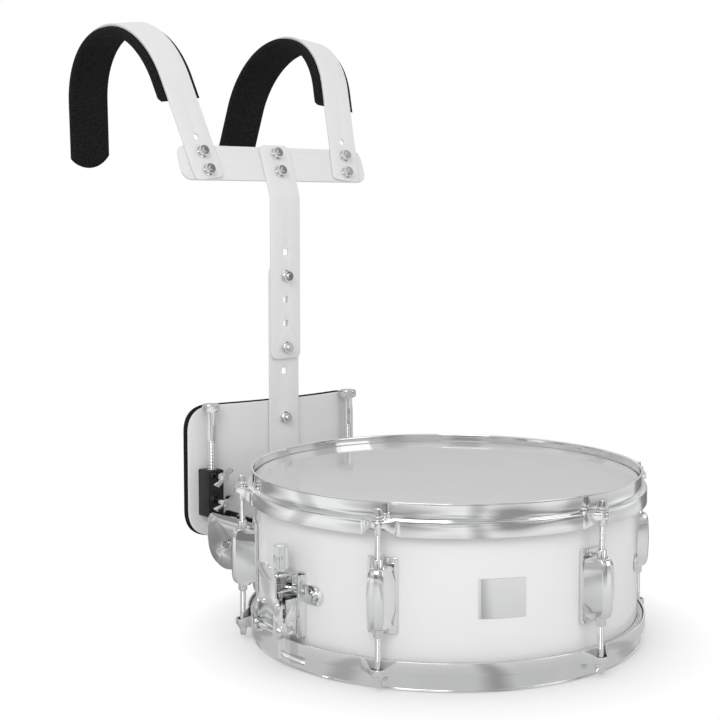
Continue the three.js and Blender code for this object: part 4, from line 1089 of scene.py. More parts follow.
def on_rod_circle(angle, out=ROD_CIRCLE):
    return out * sin(radians(angle)), -out * cos(radians(angle))


def ear_cutters(level):
    hole = [(0, level - 4), (3.4, level - 4), (3.4, level + 4), (0, level + 4)]
    axes = [upright(*on_rod_circle(LUG_STEP * i)) for i in range(LUGS)]
    return [turned("ear_cut", hole, "chrome", 24, axis) for axis in axes]


def pierced_hoop(name, node_name, side, skirt, gates=()):
    """A hoop with a hole in each ear, and gates where they are given."""
    level = past_edge(LEDGE - HOOP_SHEET / 2, side)
    cuts = gathered("cuts", [*ear_cutters(level), *gates], "chrome")
    hoop = dress(carved(make_hoop(name, side, skirt), cuts), "chrome", 50)
    return settle(hoop, "drum", "chrome", node_name)


upper_hoop = pierced_hoop("batter_rim", "batter_hoop", 1, UPPER_SKIRT)
print("upper hoop:", triangles(upper_hoop), "triangles")

# %% Lower hoop with its two gates


def gate_cutter(angle):
    mesh = blank("gate", box_outline(-17, 17, 5.6, 12.0, 1.6), [], 8, 0.0)
    mesh.transform(Matrix.Translation((0, 0, -6)))
    return bent("gate", mesh, "chrome", around(180.8, angle), across=even(-17, 17, 3))


gates = [gate_cutter(90), gate_cutter(-90)]
lower_hoop = pierced_hoop("snare_rim", "snare_side_hoop", -1, LOWER_SKIRT, gates)
print("lower hoop:", triangles(lower_hoop), "triangles")

# %% [markdown]
# ## The lugs
#
# Each lug is a hollow casting on a rectangular foot. Its sides slope in towards a bowed front
# that has a faint ridge down its middle, and a sleeve nut looks out of each end. The casting is
# lofted: one cross-section, worked out for each height, and all sections joined. Geometry Nodes
# then set the finished lug at its six places.

# %% One lug
LUG_HALF = 26.0
FOOT_HALF = 32.0


def nose(height):
    """0 over the lug's middle, up to 1 at the tip of its rounded ends."""
    share = max(0.0, abs(height) - 18) / 8
    return 1 - sqrt(max(0.0, 1 - share))


def lug_section(height):
    """Cross-section (along the shell, off the shell) of the casting."""
    share = abs(height) / LUG_HALF
    end = nose(height)
    root = 12.0 - 2.5 * max(0.0, share - 0.5) / 0.5
    front = 7.6 - 0.9 * share - 1.6 * end
    depth = 22.9 - 1.3 * share**2 - 4.7 * end**2
    back = 1.4 + 5.6 * max(0.0, abs(height) - 22) / 4
    cheek = min(3.0, (depth - back) * 0.4)
    half = [
        (-root, back, 0),
        (-root + 0.6, back + 2.2, 1.0),
        (-front, depth - cheek, 1.3),
        (-front * 0.5, depth - 0.9, 1.0),
    ]
    return soft_outline([*half, (0, depth, 0.5), *[(-x, y, r) for x, y, r in reversed(half)]])


def beside(x, y, h):
    """Turns things about the rod's axis beside a lug."""
    return loose(x, y - ROD_CIRCLE, h)


def make_lug():
    low_end = [-26, -25.9, -25.5, -24.8, -23.8, -22.4, -20.5, -18, -13, -6]
    heights = [*low_end, 0, *[-h for h in reversed(low_end)]]
    rings = [[loose(x, -(LUG_SEAT + y), h) for x, y in lug_section(h)] for h in heights]
    body = lofted("lug_body", rings, "chrome", 42)
    cone = [(0, 12), (4.3, 12), (4.7, 19), (7.2, 27), (0, 27)]
    ring = [(3.1, 14), (4.1, 14), (4.1, 32.1), (3.8, 32.5), (3.1, 32.5)]
    funnels = []
    sleeves = []
    for side in (-1, 1):
        funnels.append(turned("funnel", [(r, side * h) for r, h in cone], "chrome", 32, beside))
        sleeves.append(turned("sleeve", [(r, side * h) for r, h in ring], "chrome", 28, beside))
    body = softened(carved(body, *funnels), 0.8, 3, 50)
    foot = blank("foot", box_outline(-13, 13, -FOOT_HALF, FOOT_HALF, 1.6), [], 2.6, 0.7, 3)
    foot = bent("foot", foot, "chrome", around(LUG_SEAT, 0, loose), across=even(-13, 13, 3.2))
    return gathered("lug_shape", [body, foot, *sleeves], "chrome", 42)


lug_places = [at(0, 0, DRUM_MIDDLE)] * LUGS
lug_turns = [(0, 0, radians(LUG_STEP * i)) for i in range(LUGS)]
lugs = set_on("lugs", make_lug(), "chrome", lug_places, lug_turns, 42)
settle(lugs, "drum", "chrome", *[f"lug_{i + 1}" for i in range(LUGS)])
print("lugs:", triangles(lugs), "triangles")

# %% [markdown]
# ## The tension rods
#
# A tension rod is a long screw with a square head for the drum key, a collar under it and a loose
# washer on the ear. It turns by itself, so each rod is a piece of its own that rides on its own
# body. The shank runs plain out of the washer and its lower part is threaded by the thread tree.

# %% Tension rods
GAP = 0.3
ROD_RADIUS = 2.75
ROD_END = 98.3


def square_key(name, place, half, turn):
    """A square head one high with its upper corners broken, which is stretched later."""
    inset = 0.8
    angles = [turn + pi / 4 + k * pi / 2 for k in range(4)]
    rings = []
    for size, level in ((half, 0), (half, 1 - inset), (half - inset, 1)):
        reach = size * sqrt(2)
        rings.append([place(reach * cos(a), reach * sin(a), level) for a in angles])
    return dress(softened(lofted(name, rings, "chrome", 30), 0.35, 2), "chrome", 30)


def make_rod(index, side):
    label = "top" if side > 0 else "bottom"
    name = f"rod_{label}_{index + 1}"
    axis = upright(*on_rod_circle(LUG_STEP * index))

    def level(value):
        return value if side > 0 else 2 * DRUM_MIDDLE - value

    seat = SHELL_TOP + LEDGE + GAP
    plain = soft_outline(
        [
            (0, seat - 12, 0),
            (ROD_RADIUS, seat - 12, 0),
            (ROD_RADIUS, seat, 0.1),
            (5.4, seat, 0.3),
            (5.4, seat + 1.2, 0.3),
            (4.3, seat + 1.3, 0.05),
            (4.3, seat + 2.9, 0.4),
            (3.5, seat + 3.5, 0.4),
            (0, seat + 3.5, 0),
        ],
        2,
    )
    shank = turned(name, [(r, level(h)) for r, h in plain], "chrome", 28, axis)
    low, high = sorted((level(ROD_END), level(seat - 11.9)))
    screw = thread(name + "_thread", ROD_RADIUS, 0.38, 1.06, low, high, axis, 18)
    low, high = sorted((level(seat + 3.2), level(seat + 9.8)))
    key = square_key(name + "_key", axis, 3.17, radians(LUG_STEP * index))
    for vertex in key.data.vertices:
        rise = (vertex.co.z / MM + FACE_HEIGHT) * (high - low)
        vertex.co.z = ((low + rise if side > 0 else high - rise) - FACE_HEIGHT) * MM
    if side < 0:
        key.data.flip_normals()
    rod = gathered(name, [shank, screw, key], "chrome", 60)
    node_name = f"tension_rod_{label}_{index + 1}"
    return settle(rod, node_name + "_body", "chrome", node_name)


rods = [make_rod(i, side) for i in range(LUGS) for side in (1, -1)]
print("tension rods:", len(rods), "of", triangles(rods[0]), "triangles")

# %% [markdown]
# ## The strainer
#
# The strainer holds one end of the snare wires. A folded bracket on the shell guides a slide, a
# fluted knob above it raises and lowers the slide against a spring, and the lever drops the strap
# clamp to throw the snares off. Its folded sheets are right as solids and only need softer edges.
# The knob follows a rule, so a node tree makes it. The spring keeps its solid.

# %% Strainer sheets
STRAINER_SIDE = -90
for node_name, body in (
    ("strainer_bracket", "drum"),
    ("strainer_slide", "slide_plate"),
    ("throw_off_lever", "lever"),
    ("strap_clamp", "clamp"),
    ("butt_plate", "drum"),
):
    soft = copied(node_name, node_name + "_soft", "chrome", 0.35)
    settle(soft, body, "chrome", node_name)
    print(node_name, triangles(soft), "triangles")

# %% Knob


def make_fluted():
    """A knob: a cylinder with upright flutes that run out before its ends."""
    inputs = {
        "Radius": 0.0066,
        "Height": 0.022,
        "Flutes": 16.0,
        "Depth": 0.0006,
        "Crown": 0.0012,
        "Middle": (0, 0, 0),
    }
    tree, start, end = new_tree("fluted_knob", inputs)
    inputs = {
        "Vertices": 128,
        "Side Segments": 24,
        "Fill Segments": 4,
        "Radius": start["Radius"],
        "Depth": start["Height"],
    }
    rod = node(tree, "GeometryNodeMeshCylinder", inputs)
    parts = own_place(tree)
    angle = maths(tree, "ARCTAN2", parts["Y"], parts["X"])
    wave = maths(tree, "COSINE", maths(tree, "MULTIPLY", angle, start["Flutes"]))
    flute = maths(tree, "MULTIPLY_ADD", wave, -0.5, 0.5)
    reach = maths(tree, "DIVIDE", start["Height"], 2.0)
    left = maths(tree, "SUBTRACT", reach, maths(tree, "ABSOLUTE", parts["Z"]))
    near_end = maths(tree, "DIVIDE", left, start["Crown"])
    kept = maths(tree, "MINIMUM", maths(tree, "MAXIMUM", near_end, 0.0), 1.0)
    crown = maths(tree, "POWER", maths(tree, "SUBTRACT", 1.0, kept), 2.0)
    cut = maths(tree, "MULTIPLY", maths(tree, "MULTIPLY", flute, start["Depth"]), kept)
    drop = maths(tree, "MULTIPLY", crown, maths(tree, "MULTIPLY", start["Crown"], 0.6))
    lost = maths(tree, "DIVIDE", maths(tree, "ADD", cut, drop), start["Radius"])
    factor = maths(tree, "SUBTRACT", 1.0, lost)
    return reshaped(tree, rod, parts, factor, start, end)


SCREW_X = -(SHELL_RADIUS + 14.2)
KNOB_LOW = 86.1


def make_knob():
    axis = upright(SCREW_X, 0)
    values = {
        "Radius": 6.6 * MM,
        "Height": 22 * MM,
        "Flutes": 16.0,
        "Depth": 0.95 * MM,
        "Middle": axis(0, 0, KNOB_LOW + 1.8 + 11),
    }
    grip = grown("knob_grip", make_fluted(), values, "chrome", sharp=55)
    neck = [(0, KNOB_LOW), (4.4, KNOB_LOW), (4.4, KNOB_LOW + 2.2), (0, KNOB_LOW + 2.2)]
    collar = turned("knob_neck", neck, "chrome", 32, axis)
    screw = thread("knob_screw", 2.45, 0.35, 0.8, KNOB_LOW - 22, KNOB_LOW + 0.5, axis, 18)
    knob = gathered("knob", [grip, collar, screw], "chrome", 55)
    return settle(knob, "adjusting_knob", "chrome", "strainer_knob")


knob = make_knob()
print("knob:", triangles(knob), "triangles")

# %% [markdown]
# ## Snare wires
#
# Sixteen coiled steel wires lie across the snare-side head, each a close spiral. One tree draws
# the spiral, gives the wire its thickness and sets the result side by side as often as asked. The
# strainer's spring is thick enough to stay a solid. It only gets the wire's finish.

# %% Coils


def make_coil_tree():
    """Wire spirals side by side."""
    inputs = {
        "Radius": 0.0009,
        "Length": 0.28,
        "Turns": 90.0,
        "Points a turn": 8,
        "Wire": 0.0003,
        "Sides": 4,
        "Count": 1,
        "Step": (0, 0, 0),
        "First": (0, 0, 0),
        "Turn": (0, 0, 0),
    }
    tree, start, end = new_tree("wire_coils", inputs)

    def step(kind, inputs):
        return node(tree, kind, inputs).outputs[0]

    inputs = {
        "Resolution": start["Points a turn"],
        "Rotations": start["Turns"],
        "Start Radius": start["Radius"],
        "End Radius": start["Radius"],
        "Height": start["Length"],
    }
    spiral = step("GeometryNodeCurveSpiral", inputs)
    inputs = {"Resolution": start["Sides"], "Radius": start["Wire"]}
    section = step("GeometryNodeCurvePrimitiveCircle", inputs)
    inputs = {"Curve": spiral, "Profile Curve": section, "Fill Caps": True}
    wire = step("GeometryNodeCurveToMesh", inputs)
    laid = step("GeometryNodeTransform", {"Geometry": wire, "Rotation": start["Turn"]})
    inputs = {"Count": start["Count"], "Start Location": start["First"], "Offset": start["Step"]}
    row = step("GeometryNodeMeshLine", inputs)
    setting = step("GeometryNodeInstanceOnPoints", {"Points": row, "Instance": laid})
    return finished_tree(tree, setting, start, end)


WIRES = 16
WIRE_STEP = 3.2
WIRE_REACH = 146


def make_snares():
    values = {
        "Radius": 0.75 * MM,
        "Length": 2 * WIRE_REACH * MM,
        "Turns": 104.0,
        "Wire": 0.28 * MM,
        "Count": WIRES,
        "Step": (0, WIRE_STEP * MM, 0),
        "First": at(-WIRE_REACH, -24, 6.3),
        "Turn": (0, pi / 2, 0),
    }
    parts = [grown("snare_coils", make_coil_tree(), values, "steel_wire", sharp=70)]
    for side in (-1, 1):
        plate = blank("snare_plate", box_outline(-26.4, 26.4, -6, 6, 1.2), [], 1.2, 0.3)

        def place(x, y, z, side=side):
            return at(side * (WIRE_REACH + y), x, 5.9 + z)

        parts.append(bent("snare_plate", plate, "steel_wire", place))
    return settle(gathered("snares", parts, "steel_wire", 60), "drum", "steel_wire", "snare_wires")


snares = make_snares()
spring_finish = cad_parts["strainer_spring"].data.materials
spring_finish.clear()
spring_finish.append(FINISHES["steel_wire"])
print("snares:", triangles(snares), "triangles")

# %% [markdown]
# ## Straps
#
# A clear plastic strip ties each end of the snare wires to its clamp. It runs level through the
# gate in the hoop and bends up outside it. A strip is too thin for a boxy solid, so a flat blank is
# cut across at the bend and laid along its path.

# %% Straps
STRAP_LOW = 6.2
STRAP_START = 152.3
STRAP_RISE = 189.4
BEND_MIDDLE = 2.0
BEND_OUTSIDE = 2.2


def make_strap(name, side):
    level = STRAP_RISE - 1.75 - STRAP_START
    bend = BEND_MIDDLE * pi / 2
    top = level + bend + 43.5 - STRAP_LOW - BEND_OUTSIDE
    mesh = blank(name, box_outline(-9, 9, 0, top, 0.8), [], 0.45, 0.15)

    def lay(x, y, z):
        turn = min(max(y - level, 0.0) / BEND_MIDDLE, pi / 2)
        rise = max(y - level - bend, 0.0)
        out = STRAP_START + min(y, level) + (BEND_OUTSIDE - z) * sin(turn)
        height = STRAP_LOW + BEND_OUTSIDE - (BEND_OUTSIDE - z) * cos(turn) + rise
        return at(side * out, side * x, height)

    cuts = [level, level + bend, *even(level, level + bend, 0.5), *even(level + bend, top, 4)]
    return bent(name, mesh, "nylon_tape", lay, cuts, sharp=45)


strainer_strip = make_strap("strainer_strip", -1)
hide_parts("strainer_strap")
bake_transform(strainer_strip)
butt_strip = make_strap("butt_strip", 1)
settle(butt_strip, "drum", "nylon_tape", "butt_strap")
print("straps:", triangles(strainer_strip), "triangles each")

# %% [markdown]
# ## Hangers and hook rods
#
# Two pressed brackets at the back of the drum hang by their cross pins in the hooks of two bent
# rods. The brackets keep their solids with soft edges. A hook rod is a steel bar with a hex head,
# a plain upper end and a long thread below it, bent through a half circle at the bottom. The bend
# is a circle swept along its path, ring by ring, so that the tube keeps its thickness.

# %% Hangers
for side in ("left", "right"):
    soft = copied(f"hanger_{side}", f"hanger_{side}_soft", "chrome", 0.4)
    settle(soft, "drum", "chrome", f"hanger_{side}")
print("hangers dressed")

# %% Hook rods
HOOK_SIDE = 91
HOOK_RADIUS = 4.75
HOOK_DEPTH = 254.9
HOOK_BEND = 27.2
HOOK_BEND_HEIGHT = 59.0
HOOK_TOP = 186.6
THREAD_TOP = 156.5


def swept(name, path, sides, x):
    """A round bar along a path of (depth, height, radius) in an upright plane."""
    angles = [2 * pi * k / sides for k in range(sides)]
    rings = []
    for i, (y, z, radius) in enumerate(path):
        y0, z0 = path[max(i - 1, 0)][:2]
        y1, z1 = path[min(i + 1, len(path) - 1)][:2]
        along = Vector((y1 - y0, z1 - z0)).normalized()
        back, up = -along.y * radius, along.x * radius
        rings.append([at(x + radius * cos(a), y + back * sin(a), z + up * sin(a)) for a in angles])
    return lofted(name, rings, "chrome", 50)


def hex_head(name, place, low, high, radius, turn=0.0):
    """A hexagon with the round chamfer of a turned bolt head."""
    sections = [
        (low, 0.9),
        (low + 0.9, 0.98),
        (low + 1.4, None),
        (high - 1.6, None),
        (high - 0.8, 0.96),
        (high, 0.86),
    ]
    sides = 36
    rings = []
    for level, chamfer in sections:
        ring = []
        for k in range(sides):
            angle = 2 * pi * k / sides
            reach = radius * cos(pi / 6) / cos(radians(degrees(angle) % 60 - 30))
            if chamfer:
                reach = min(reach, radius * chamfer)
            ring.append(place(reach * cos(angle + turn), reach * sin(angle + turn), level))
        rings.append(ring)
    return lofted(name, rings, "chrome", 25)


def make_hook(side_name, side):
    x = side * HOOK_SIDE
    axis = upright(x, HOOK_DEPTH)
    centre = HOOK_DEPTH - HOOK_BEND
    tip = centre - HOOK_BEND
    path = [(tip, 75.0, 3.6), (tip, 74.0, 4.6), (tip, 73.6, HOOK_RADIUS), (tip, 66, HOOK_RADIUS)]
    for k in range(25):
        turn = pi * k / 24
        depth, height = centre - HOOK_BEND * cos(turn), HOOK_BEND_HEIGHT - HOOK_BEND * sin(turn)
        path.append((depth, height, HOOK_RADIUS))
    path += [(HOOK_DEPTH, 70, HOOK_RADIUS), (HOOK_DEPTH, 76, HOOK_RADIUS)]
    shank = [
        (0, THREAD_TOP),
        (HOOK_RADIUS - 0.1, THREAD_TOP),
        (HOOK_RADIUS, THREAD_TOP + 1),
        (HOOK_RADIUS, HOOK_TOP + 1),
        (0, HOOK_TOP + 1),
    ]
    parts = [
        swept("bend", path, 28, x),
        thread("screw", HOOK_RADIUS, 0.5, 1.5, 75.5, THREAD_TOP + 0.5, axis, 24),
        turned("shank", shank, "chrome", 28, axis),
        hex_head("head", axis, HOOK_TOP, HOOK_TOP + 8, 9.3, radians(30)),
    ]
    made = gathered(f"hook_{side_name}", parts, "chrome", 40)
    return settle(made, "hook_rods", "chrome", f"hook_rod_{side_name}")


SIDES = (("left", -1), ("right", 1))
hooks = [make_hook(name, side) for name, side in SIDES]
print("hooks:", triangles(hooks[0]), "triangles each")

# %% [markdown]
# ## Clamp blocks and wing screws
#
# Black moulded blocks on the belly plate hold the hook rods, and two wing screws in each block
# pinch them. Blocks and wing screws keep their solids. A bevel of several steps rounds their
# edges, as on the castings.

# %% Clamp blocks and wing screws
for side_name, side in SIDES:
    block = copied(f"clamp_block_{side_name}", f"clamp_{side_name}", "black_plastic", 0.9, 3)
    settle(block, "carrier", "black_plastic", f"clamp_block_{side_name}")
    for level in ("low", "high"):
        node_name = f"wing_screw_{level}_{side_name}"
        wing = copied(node_name, node_name + "_soft", "chrome", 0.45, 3)
        settle(wing, node_name + "_body", "chrome", node_name)
print("clamps and wing screws dressed")

# %% [markdown]
# ## The carrier's bars
#
# The bars are flat aluminium, painted white. Each is a blank with its holes, laid in place by a
# function: straight for the centre bars, tilted for the cross bar, and up the leg and round the
# arch for the two bars that go over the shoulders.

# %% Places on the carrier
BAR_FRONT = 247.0
BEND_HEIGHT = 408.0
CHEST_TILT = radians(20.8)
SPLAY = radians(8.1)
TOE_IN = radians(1.6)
CROSS_MIDDLE = 37.5
SPREAD = 92.0
SHEET = 3.0


def on_chest(x, y, z):
    """The tilted upper frame: X across, Y behind its front face, Z up from the bend."""
    return at(
        x,
        BAR_FRONT + y * cos(CHEST_TILT) + z * sin(CHEST_TILT),
        BEND_HEIGHT - y * sin(CHEST_TILT) + z * cos(CHEST_TILT),
    )


def on_leg(side):
    """A shoulder bar's own frame on the chest."""

    def place(x, y, z):
        x = x - side * tan(TOE_IN) * y
        angle = side * SPLAY
        turned_x = x * cos(angle) + z * sin(angle)
        turned_z = -x * sin(angle) + z * cos(angle)
        return on_chest(turned_x + side * SPREAD, y, turned_z + CROSS_MIDDLE)

    return place


LEG_LENGTH = 94.0
ARCH_RADIUS = 96.0
ARCH_TURN = radians(147.5)
ARCH_END = LEG_LENGTH + ARCH_RADIUS * ARCH_TURN


def along_arch(side):
    """Lays a blank up the leg, over the arch and down its tail; Z goes towards the shoulder."""
    place = on_leg(side)

    def lay(x, length, depth):
        if length <= LEG_LENGTH:
            return place(x, depth, length)
        turn = min((length - LEG_LENGTH) / ARCH_RADIUS, ARCH_TURN)
        y = ARCH_RADIUS - (ARCH_RADIUS - depth) * cos(turn)
        z = LEG_LENGTH + (ARCH_RADIUS - depth) * sin(turn)
        beyond = max(0.0, length - ARCH_END)
        return place(x, y + beyond * sin(turn), z + beyond * cos(turn))

    return lay


print("arch length", round(ARCH_END - LEG_LENGTH, 1), "mm")

# %% Shoulder bars
BOLT_STEPS = (-10, 10)
BOLT_HOLE = 3.4


def make_bar(name, node_name, outline, holes, lay, cuts=(), across=(), sheet=SHEET):
    """A painted bar from its outline and its holes, laid in place."""
    mesh = blank("bar", outline, holes, sheet, 0.7, 3)
    made = bent(name, mesh, "white_paint", lay, cuts, across, sharp=45)
    return settle(made, "carrier", "white_paint", node_name)


def make_shoulder_bar(side_name, side):
    half = 17.5
    top = ARCH_END + 66
    outline = rounded([(-half, -19), (half, -19), (half, top), (-half, top)], [6, 6, 12, 12], 8)
    holes = [circle(0, h, BOLT_HOLE) for h in (*BOLT_STEPS, 27)]
    cuts = even(LEG_LENGTH, ARCH_END, 3.4) + [LEG_LENGTH, ARCH_END]
    name, node_name = f"shoulder_strip_{side_name}", f"shoulder_bar_{side_name}"
    return make_bar(name, node_name, outline, holes, along_arch(side), cuts)


strips = [make_shoulder_bar(name, side) for name, side in SIDES]
print("shoulder bars:", triangles(strips[1]), "triangles each")

# %% Centre bars and cross bar
SETTING_PITCH = 25.3
SETTING_HOLES = [248 + SETTING_PITCH * step for step in range(-1, 5)]
CROSS_HEIGHT = BEND_HEIGHT + CROSS_MIDDLE


def setting_holes(heights):
    """Square holes up the middle of a bar."""
    half = 6.5 / 2
    return [box_outline(-half, half, height - half, height + half, 0.8, 3) for height in heights]


def make_upper_bar():
    holes = setting_holes(SETTING_HOLES[1:])
    holes += [circle(0, CROSS_HEIGHT + d, BOLT_HOLE) for d in BOLT_STEPS]
    reach = 5.0
    low, high = BEND_HEIGHT - reach, BEND_HEIGHT + reach

    def lay(x, y, z):
        rise = y - BEND_HEIGHT
        if rise <= -reach:
            return at(x, BAR_FRONT + z, y)
        turn = CHEST_TILT * min(1.0, (rise + reach) / (2 * reach))
        radius = 2 * reach / CHEST_TILT
        base = at(x, BAR_FRONT + radius * (1 - cos(turn)), low + radius * sin(turn))
        ahead = Vector((0, sin(turn), cos(turn))) * max(0.0, rise - reach)
        back = Vector((0, cos(turn), -sin(turn))) * z
        return base + (ahead + back) * MM

    outline = box_outline(-19, 19, 236, CROSS_HEIGHT + 20, 7)
    cuts = even(low, high, 1.6) + [low, high]
    return make_bar("upper_strip", "upper_centre_bar", outline, holes, lay, cuts)


def make_lower_bar():
    outline = box_outline(-19, 19, 92, 337, 12)
    back = BAR_FRONT + SHEET + GAP

    def lay(x, y, z):
        return at(x, back + z, y)

    holes = setting_holes(SETTING_HOLES[:-1])
    return make_bar("lower_strip", "lower_centre_bar", outline, holes, lay)


def make_cross_bar():
    outline = box_outline(-120, 120, CROSS_MIDDLE - 19, CROSS_MIDDLE + 19, 13, 8)
    places = [(0, CROSS_MIDDLE + d) for d in BOLT_STEPS]
    for side in (-1, 1):
        for d in BOLT_STEPS:
            places.append((side * (SPREAD + d * sin(SPLAY)), CROSS_MIDDLE + d * cos(SPLAY)))
    holes = [circle(x, y, BOLT_HOLE) for x, y in places]

    def lay(x, y, z):
        return on_chest(x, SHEET + GAP + z, y)

    return make_bar("cross_strip", "cross_bar", outline, holes, lay)


bars = [make_upper_bar(), make_lower_bar(), make_cross_bar()]
print("bars:", [triangles(bar) for bar in bars], "triangles")

# %% Belly plate
BELLY_FRONT = 253.6
BELLY_RADIUS = 410.0


def on_belly(depth):
    """Lays a blank on the curved plate, behind its front face by a depth."""

    def lay(x, y, z):
        radius = BELLY_RADIUS - depth - z
        return at(x, BELLY_FRONT + BELLY_RADIUS - sqrt(radius**2 - x**2), y)

    return lay


def make_belly_plate():
    outline = box_outline(-110, 110, 55, 192, 28, 10)
    across = even(-110, 110, 6)
    return make_bar("belly_sheet", "belly_plate", outline, [], on_belly(0), (), across, 2.5)


belly = make_belly_plate()
print("belly plate:", triangles(belly), "triangles")

# %% [markdown]
# ## Foam pads
#
# The pads are cut from dense black foam: one behind the belly plate and one under each arch. Foam
# has soft, slightly crowned edges. A blank with a wide rounded rim gives that edge, and a fine
# grid lets the faces swell a little between their edges before the pad is bent to its bar.

# %% Pads


def make_pad(name, node_name, outline, lay, thickness, edge, pitch):
    """A foam pad with a rounded rim, whose free face stands a little proud in its middle."""
    columns, rows = zip(*outline)
    left, right = min(columns), max(columns)
    mesh = blank("pad", outline, [], thickness, edge, 4)

    def swollen(x, y, z):
        share = (x - (left + right) / 2) / ((right - left) / 2)
        crown = 0.8 * max(0.0, 1 - share * share) * (z / thickness)
        return lay(x, y, z + crown)

    cuts = even(min(rows), max(rows), pitch)
    across = even(left, right, pitch)
    made = bent(name, mesh, "black_foam", swollen, cuts, across, sharp=60)
    settle(made, "carrier", "black_foam", node_name)
    return made


def make_shoulder_pad(side_name, side):
    half = 24.2
    start = 67.5
    top = ARCH_END + 75
    bow = 30.3
    thickness = 8.0
    turns = [radians(a) for a in even(58, -58, 5)]
    end = [(bow * sin(a), top - bow + bow * cos(a)) for a in turns]
    lay = along_arch(side)

    def slanted(x, y, z):
        shift = 10.0 * (z / thickness) * max(0.0, 1 - (y - start) / 30)
        return lay(x, y + shift, SHEET + GAP + z)

    outline = [(-half, start), (half, start), *end]
    name, node_name = f"shoulder_foam_{side_name}", f"shoulder_pad_{side_name}"
    return make_pad(name, node_name, outline, slanted, thickness, 2.6, 5.0)


def make_belly_pad():
    outline = box_outline(-110.8, 110.8, 54.2, 192.8, 28, 10)
    return make_pad("belly_foam", "belly_pad", outline, on_belly(2.8), 7.0, 2.4, 6.0)


pads = [make_shoulder_pad(name, side) for name, side in SIDES] + [make_belly_pad()]
print("pads:", [triangles(p) for p in pads], "triangles")

# %% [markdown]
# ## Bolts
#
# Carriage bolts hold the bars: a domed head behind, and a washer, a nut and the end of the thread
# in front. One bolt is built along its own axis, and the tree of the Geometry Nodes helpers sets
# it at all its places, each turned with the bar that it goes through.

# %% Bolts
CARRIER_GRIP = 6.3
BELLY_GRIP = 5.2
ACROSS = Vector((1, 0, 0))
BACKWARD = Vector((0, 1, 0))
UP = Vector((0, 0, 1))


def make_bolt(grip):
    """A bolt whose axis is Z and whose front sheet lies at 0, nut towards -Z."""
    shank = [
        (0, -6),
        (3.0, -6),
        (3.0, grip + 0.3),
        (6.6, grip + 0.3),
        (6.4, grip + 1.2),
        (5.0, grip + 2.7),
        (2.6, grip + 3.4),
        (0, grip + 3.5),
    ]
    ring = rounded([(3.2, -1.5), (6.2, -1.5), (6.2, -0.3), (3.2, -0.3)], 0.25, 2)
    parts = [
        turned("core", shank, "chrome", 32, loose),
        turned("washer", ring, "chrome", 40, loose),
        hex_head("nut", lambda x, y, h: loose(x, y, -1.5 - h), 0, 5.0, 5.7),
        thread("tail", 3.0, 0.4, 1.0, -8.7, -4.3, loose),
    ]
    return gathered("bolt_shape", parts, "chrome", 35)


def turn_to(x_axis, z_axis):
    """The turn that carries a shape's own axes to these."""
    z_axis = z_axis.normalized()
    y_axis = z_axis.cross(x_axis).normalized()
    x_axis = y_axis.cross(z_axis)
    return tuple(Matrix((x_axis, y_axis, z_axis)).transposed().to_euler())


def set_rows(name, shape, rows, body, *nodes):
    """A chrome shape at each row's place and turn, on one body."""
    places, turns = zip(*rows)
    return settle(set_on(name, shape, "chrome", places, turns, 35), body, "chrome", *nodes)


def bolt_rows():
    """Where each bolt's front sheet is, and its turn."""
    chest_turn = turn_to(ACROSS, on_chest(0, 1, 0) - on_chest(0, 0, 0))
    places = [on_leg(side)(0, 0, along) for side in (-1, 1) for along in BOLT_STEPS]
    places += [on_chest(0, 0, CROSS_MIDDLE + along) for along in BOLT_STEPS]
    rows = [(place, chest_turn) for place in places]
    for height in (SETTING_HOLES[1], SETTING_HOLES[4]):
        rows.append((at(0, BAR_FRONT, height), turn_to(ACROSS, BACKWARD)))
    return rows


bolt_nodes = [f"shoulder_bolt_{s}_{i}" for s in ("left", "right") for i in (1, 2)]
bolt_nodes += ["cross_bolt_1", "cross_bolt_2", "setting_bolt_1", "setting_bolt_2"]
bolts = set_rows("bolts", make_bolt(CARRIER_GRIP), bolt_rows(), "carrier", *bolt_nodes)
print("bolts:", triangles(bolts), "triangles")

# %% Belly bolts
belly_turn = turn_to(ACROSS, BACKWARD)
belly_rows = [(at(0, BAR_FRONT + SHEET + GAP, height), belly_turn) for height in (173, 108)]
belly_bolts = set_rows("belly_bolts", make_bolt(BELLY_GRIP), belly_rows, "carrier")
print("belly bolts:", triangles(belly_bolts), "triangles")

# %% [markdown]
# ## Screws and rivets
#
# Small round-headed screws with a cross recess hold the strainer, the butt plate and the hangers
# to the shell, and two rivets go through the lever. Each head is turned once and set by the same
# tree as the lugs. A rivet's seat is found by a ray sent at the lever, so it lies on the metal.

# %% Screws and rivets


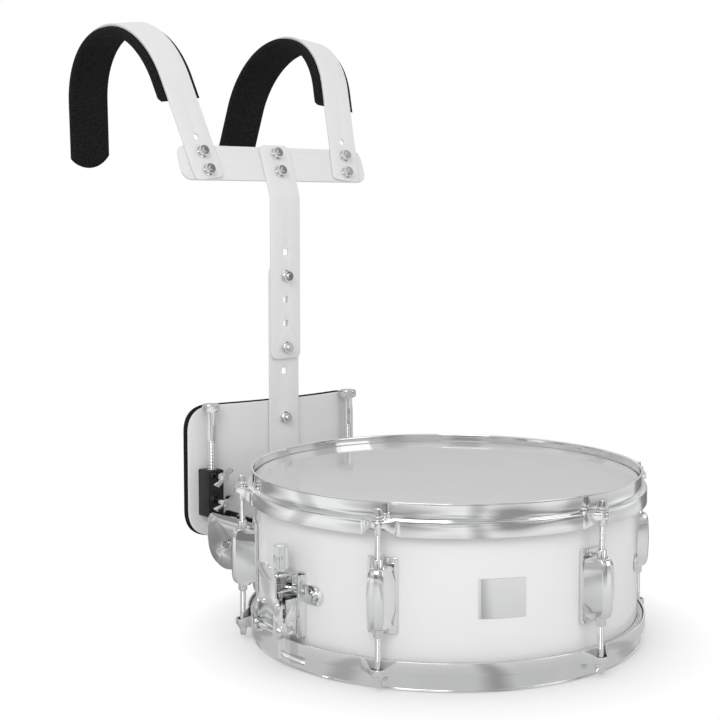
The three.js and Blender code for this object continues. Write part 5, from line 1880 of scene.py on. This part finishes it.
def make_screw_head(radius, height, recess):
    """A round head on a plane, with a cross recess or plain."""
    dome = [
        (0, -0.4, 0),
        (radius, -0.4, 0),
        (radius, 0.4, 0.3),
        (radius * 0.9, height * 0.6, 0.8),
        (radius * 0.6, height * 0.92, 1.2),
        (0, height, 0),
    ]
    head = turned("head", soft_outline(dome), "chrome", 32, loose)
    if not recess:
        return head
    cutters = []
    half = radius * 0.55
    for turn in (0, pi / 2):
        slot = blank("slot", box_outline(-half, half, -0.42, 0.42, 0.1), [], 2.0, 0.0)
        slot.transform(Matrix.Rotation(turn, 4, "Z") @ Matrix.Translation((0, 0, height - 1.1)))
        cutters.append(bent("slot", slot, "chrome", loose))
    return dress(carved(head, *cutters), "chrome", 35)


def on_shell(radius, angle, height):
    """A place on the shell and the turn of a screw that stands on it."""
    x, y = on_rod_circle(angle, radius)
    out = Vector((sin(radians(angle)), -cos(radians(angle)), 0))
    return at(x, y, height), turn_to(UP, out)


def rivet_row(metal, y, height):
    """The lever's surface by a ray from outside, and the turn of a rivet on it."""
    seat, facing, _, _ = metal.ray_cast(at(-260, y, height), ACROSS)
    print("rivet on the lever at", tuple(round(v, 4) for v in seat))
    return seat, turn_to(UP, facing)


# Each group of screws: distance from the drum's axis, angles round it and heights.
SCREW_GROUPS = (
    (179.7, (STRAINER_SIDE - 8.4, STRAINER_SIDE + 8.4), (68,)),
    (179.7, (STRAINER_SIDE + 180 - 2.9, STRAINER_SIDE + 180 + 2.9), (55.5,)),
    (180.5, (-143.7, -155.5), (41, 78.5)),
    (180.5, (143.7, 155.5), (41, 78.5)),
)
# Each rivet: place along the drum's Y and height.
RIVETS = ((7, 62), (-11.5, 61))
screws = [
    on_shell(out, angle, height)
    for out, angles, heights in SCREW_GROUPS
    for angle in angles
    for height in heights
]
set_rows("shell_screws", make_screw_head(3.9, 2.2, True), screws, "drum")
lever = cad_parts["throw_off_lever"].data
metal = BVHTree.FromPolygons([v.co for v in lever.vertices], [p.vertices for p in lever.polygons])
rivets = [rivet_row(metal, y, height) for y, height in RIVETS]
set_rows("lever_rivets", make_screw_head(2.6, 1.3, False), rivets, "lever")

# %% [markdown]
# ## Badge plate
#
# A thin metal plate sits on the shell at the front, held flush. It is left bare here.

# %% Badge


def make_badge():
    mesh = blank("badge", box_outline(-20.3, 20.3, 60.3, 93.5, 0.6), [], 0.5, 0.15)
    lay = around(SHELL_RADIUS + 0.05, -28)
    made = bent("badge_plate", mesh, "chrome", lay, across=even(-20.3, 20.3, 3))
    return settle(made, "drum", "chrome")


badge = make_badge()
print("badge:", triangles(badge), "triangles")
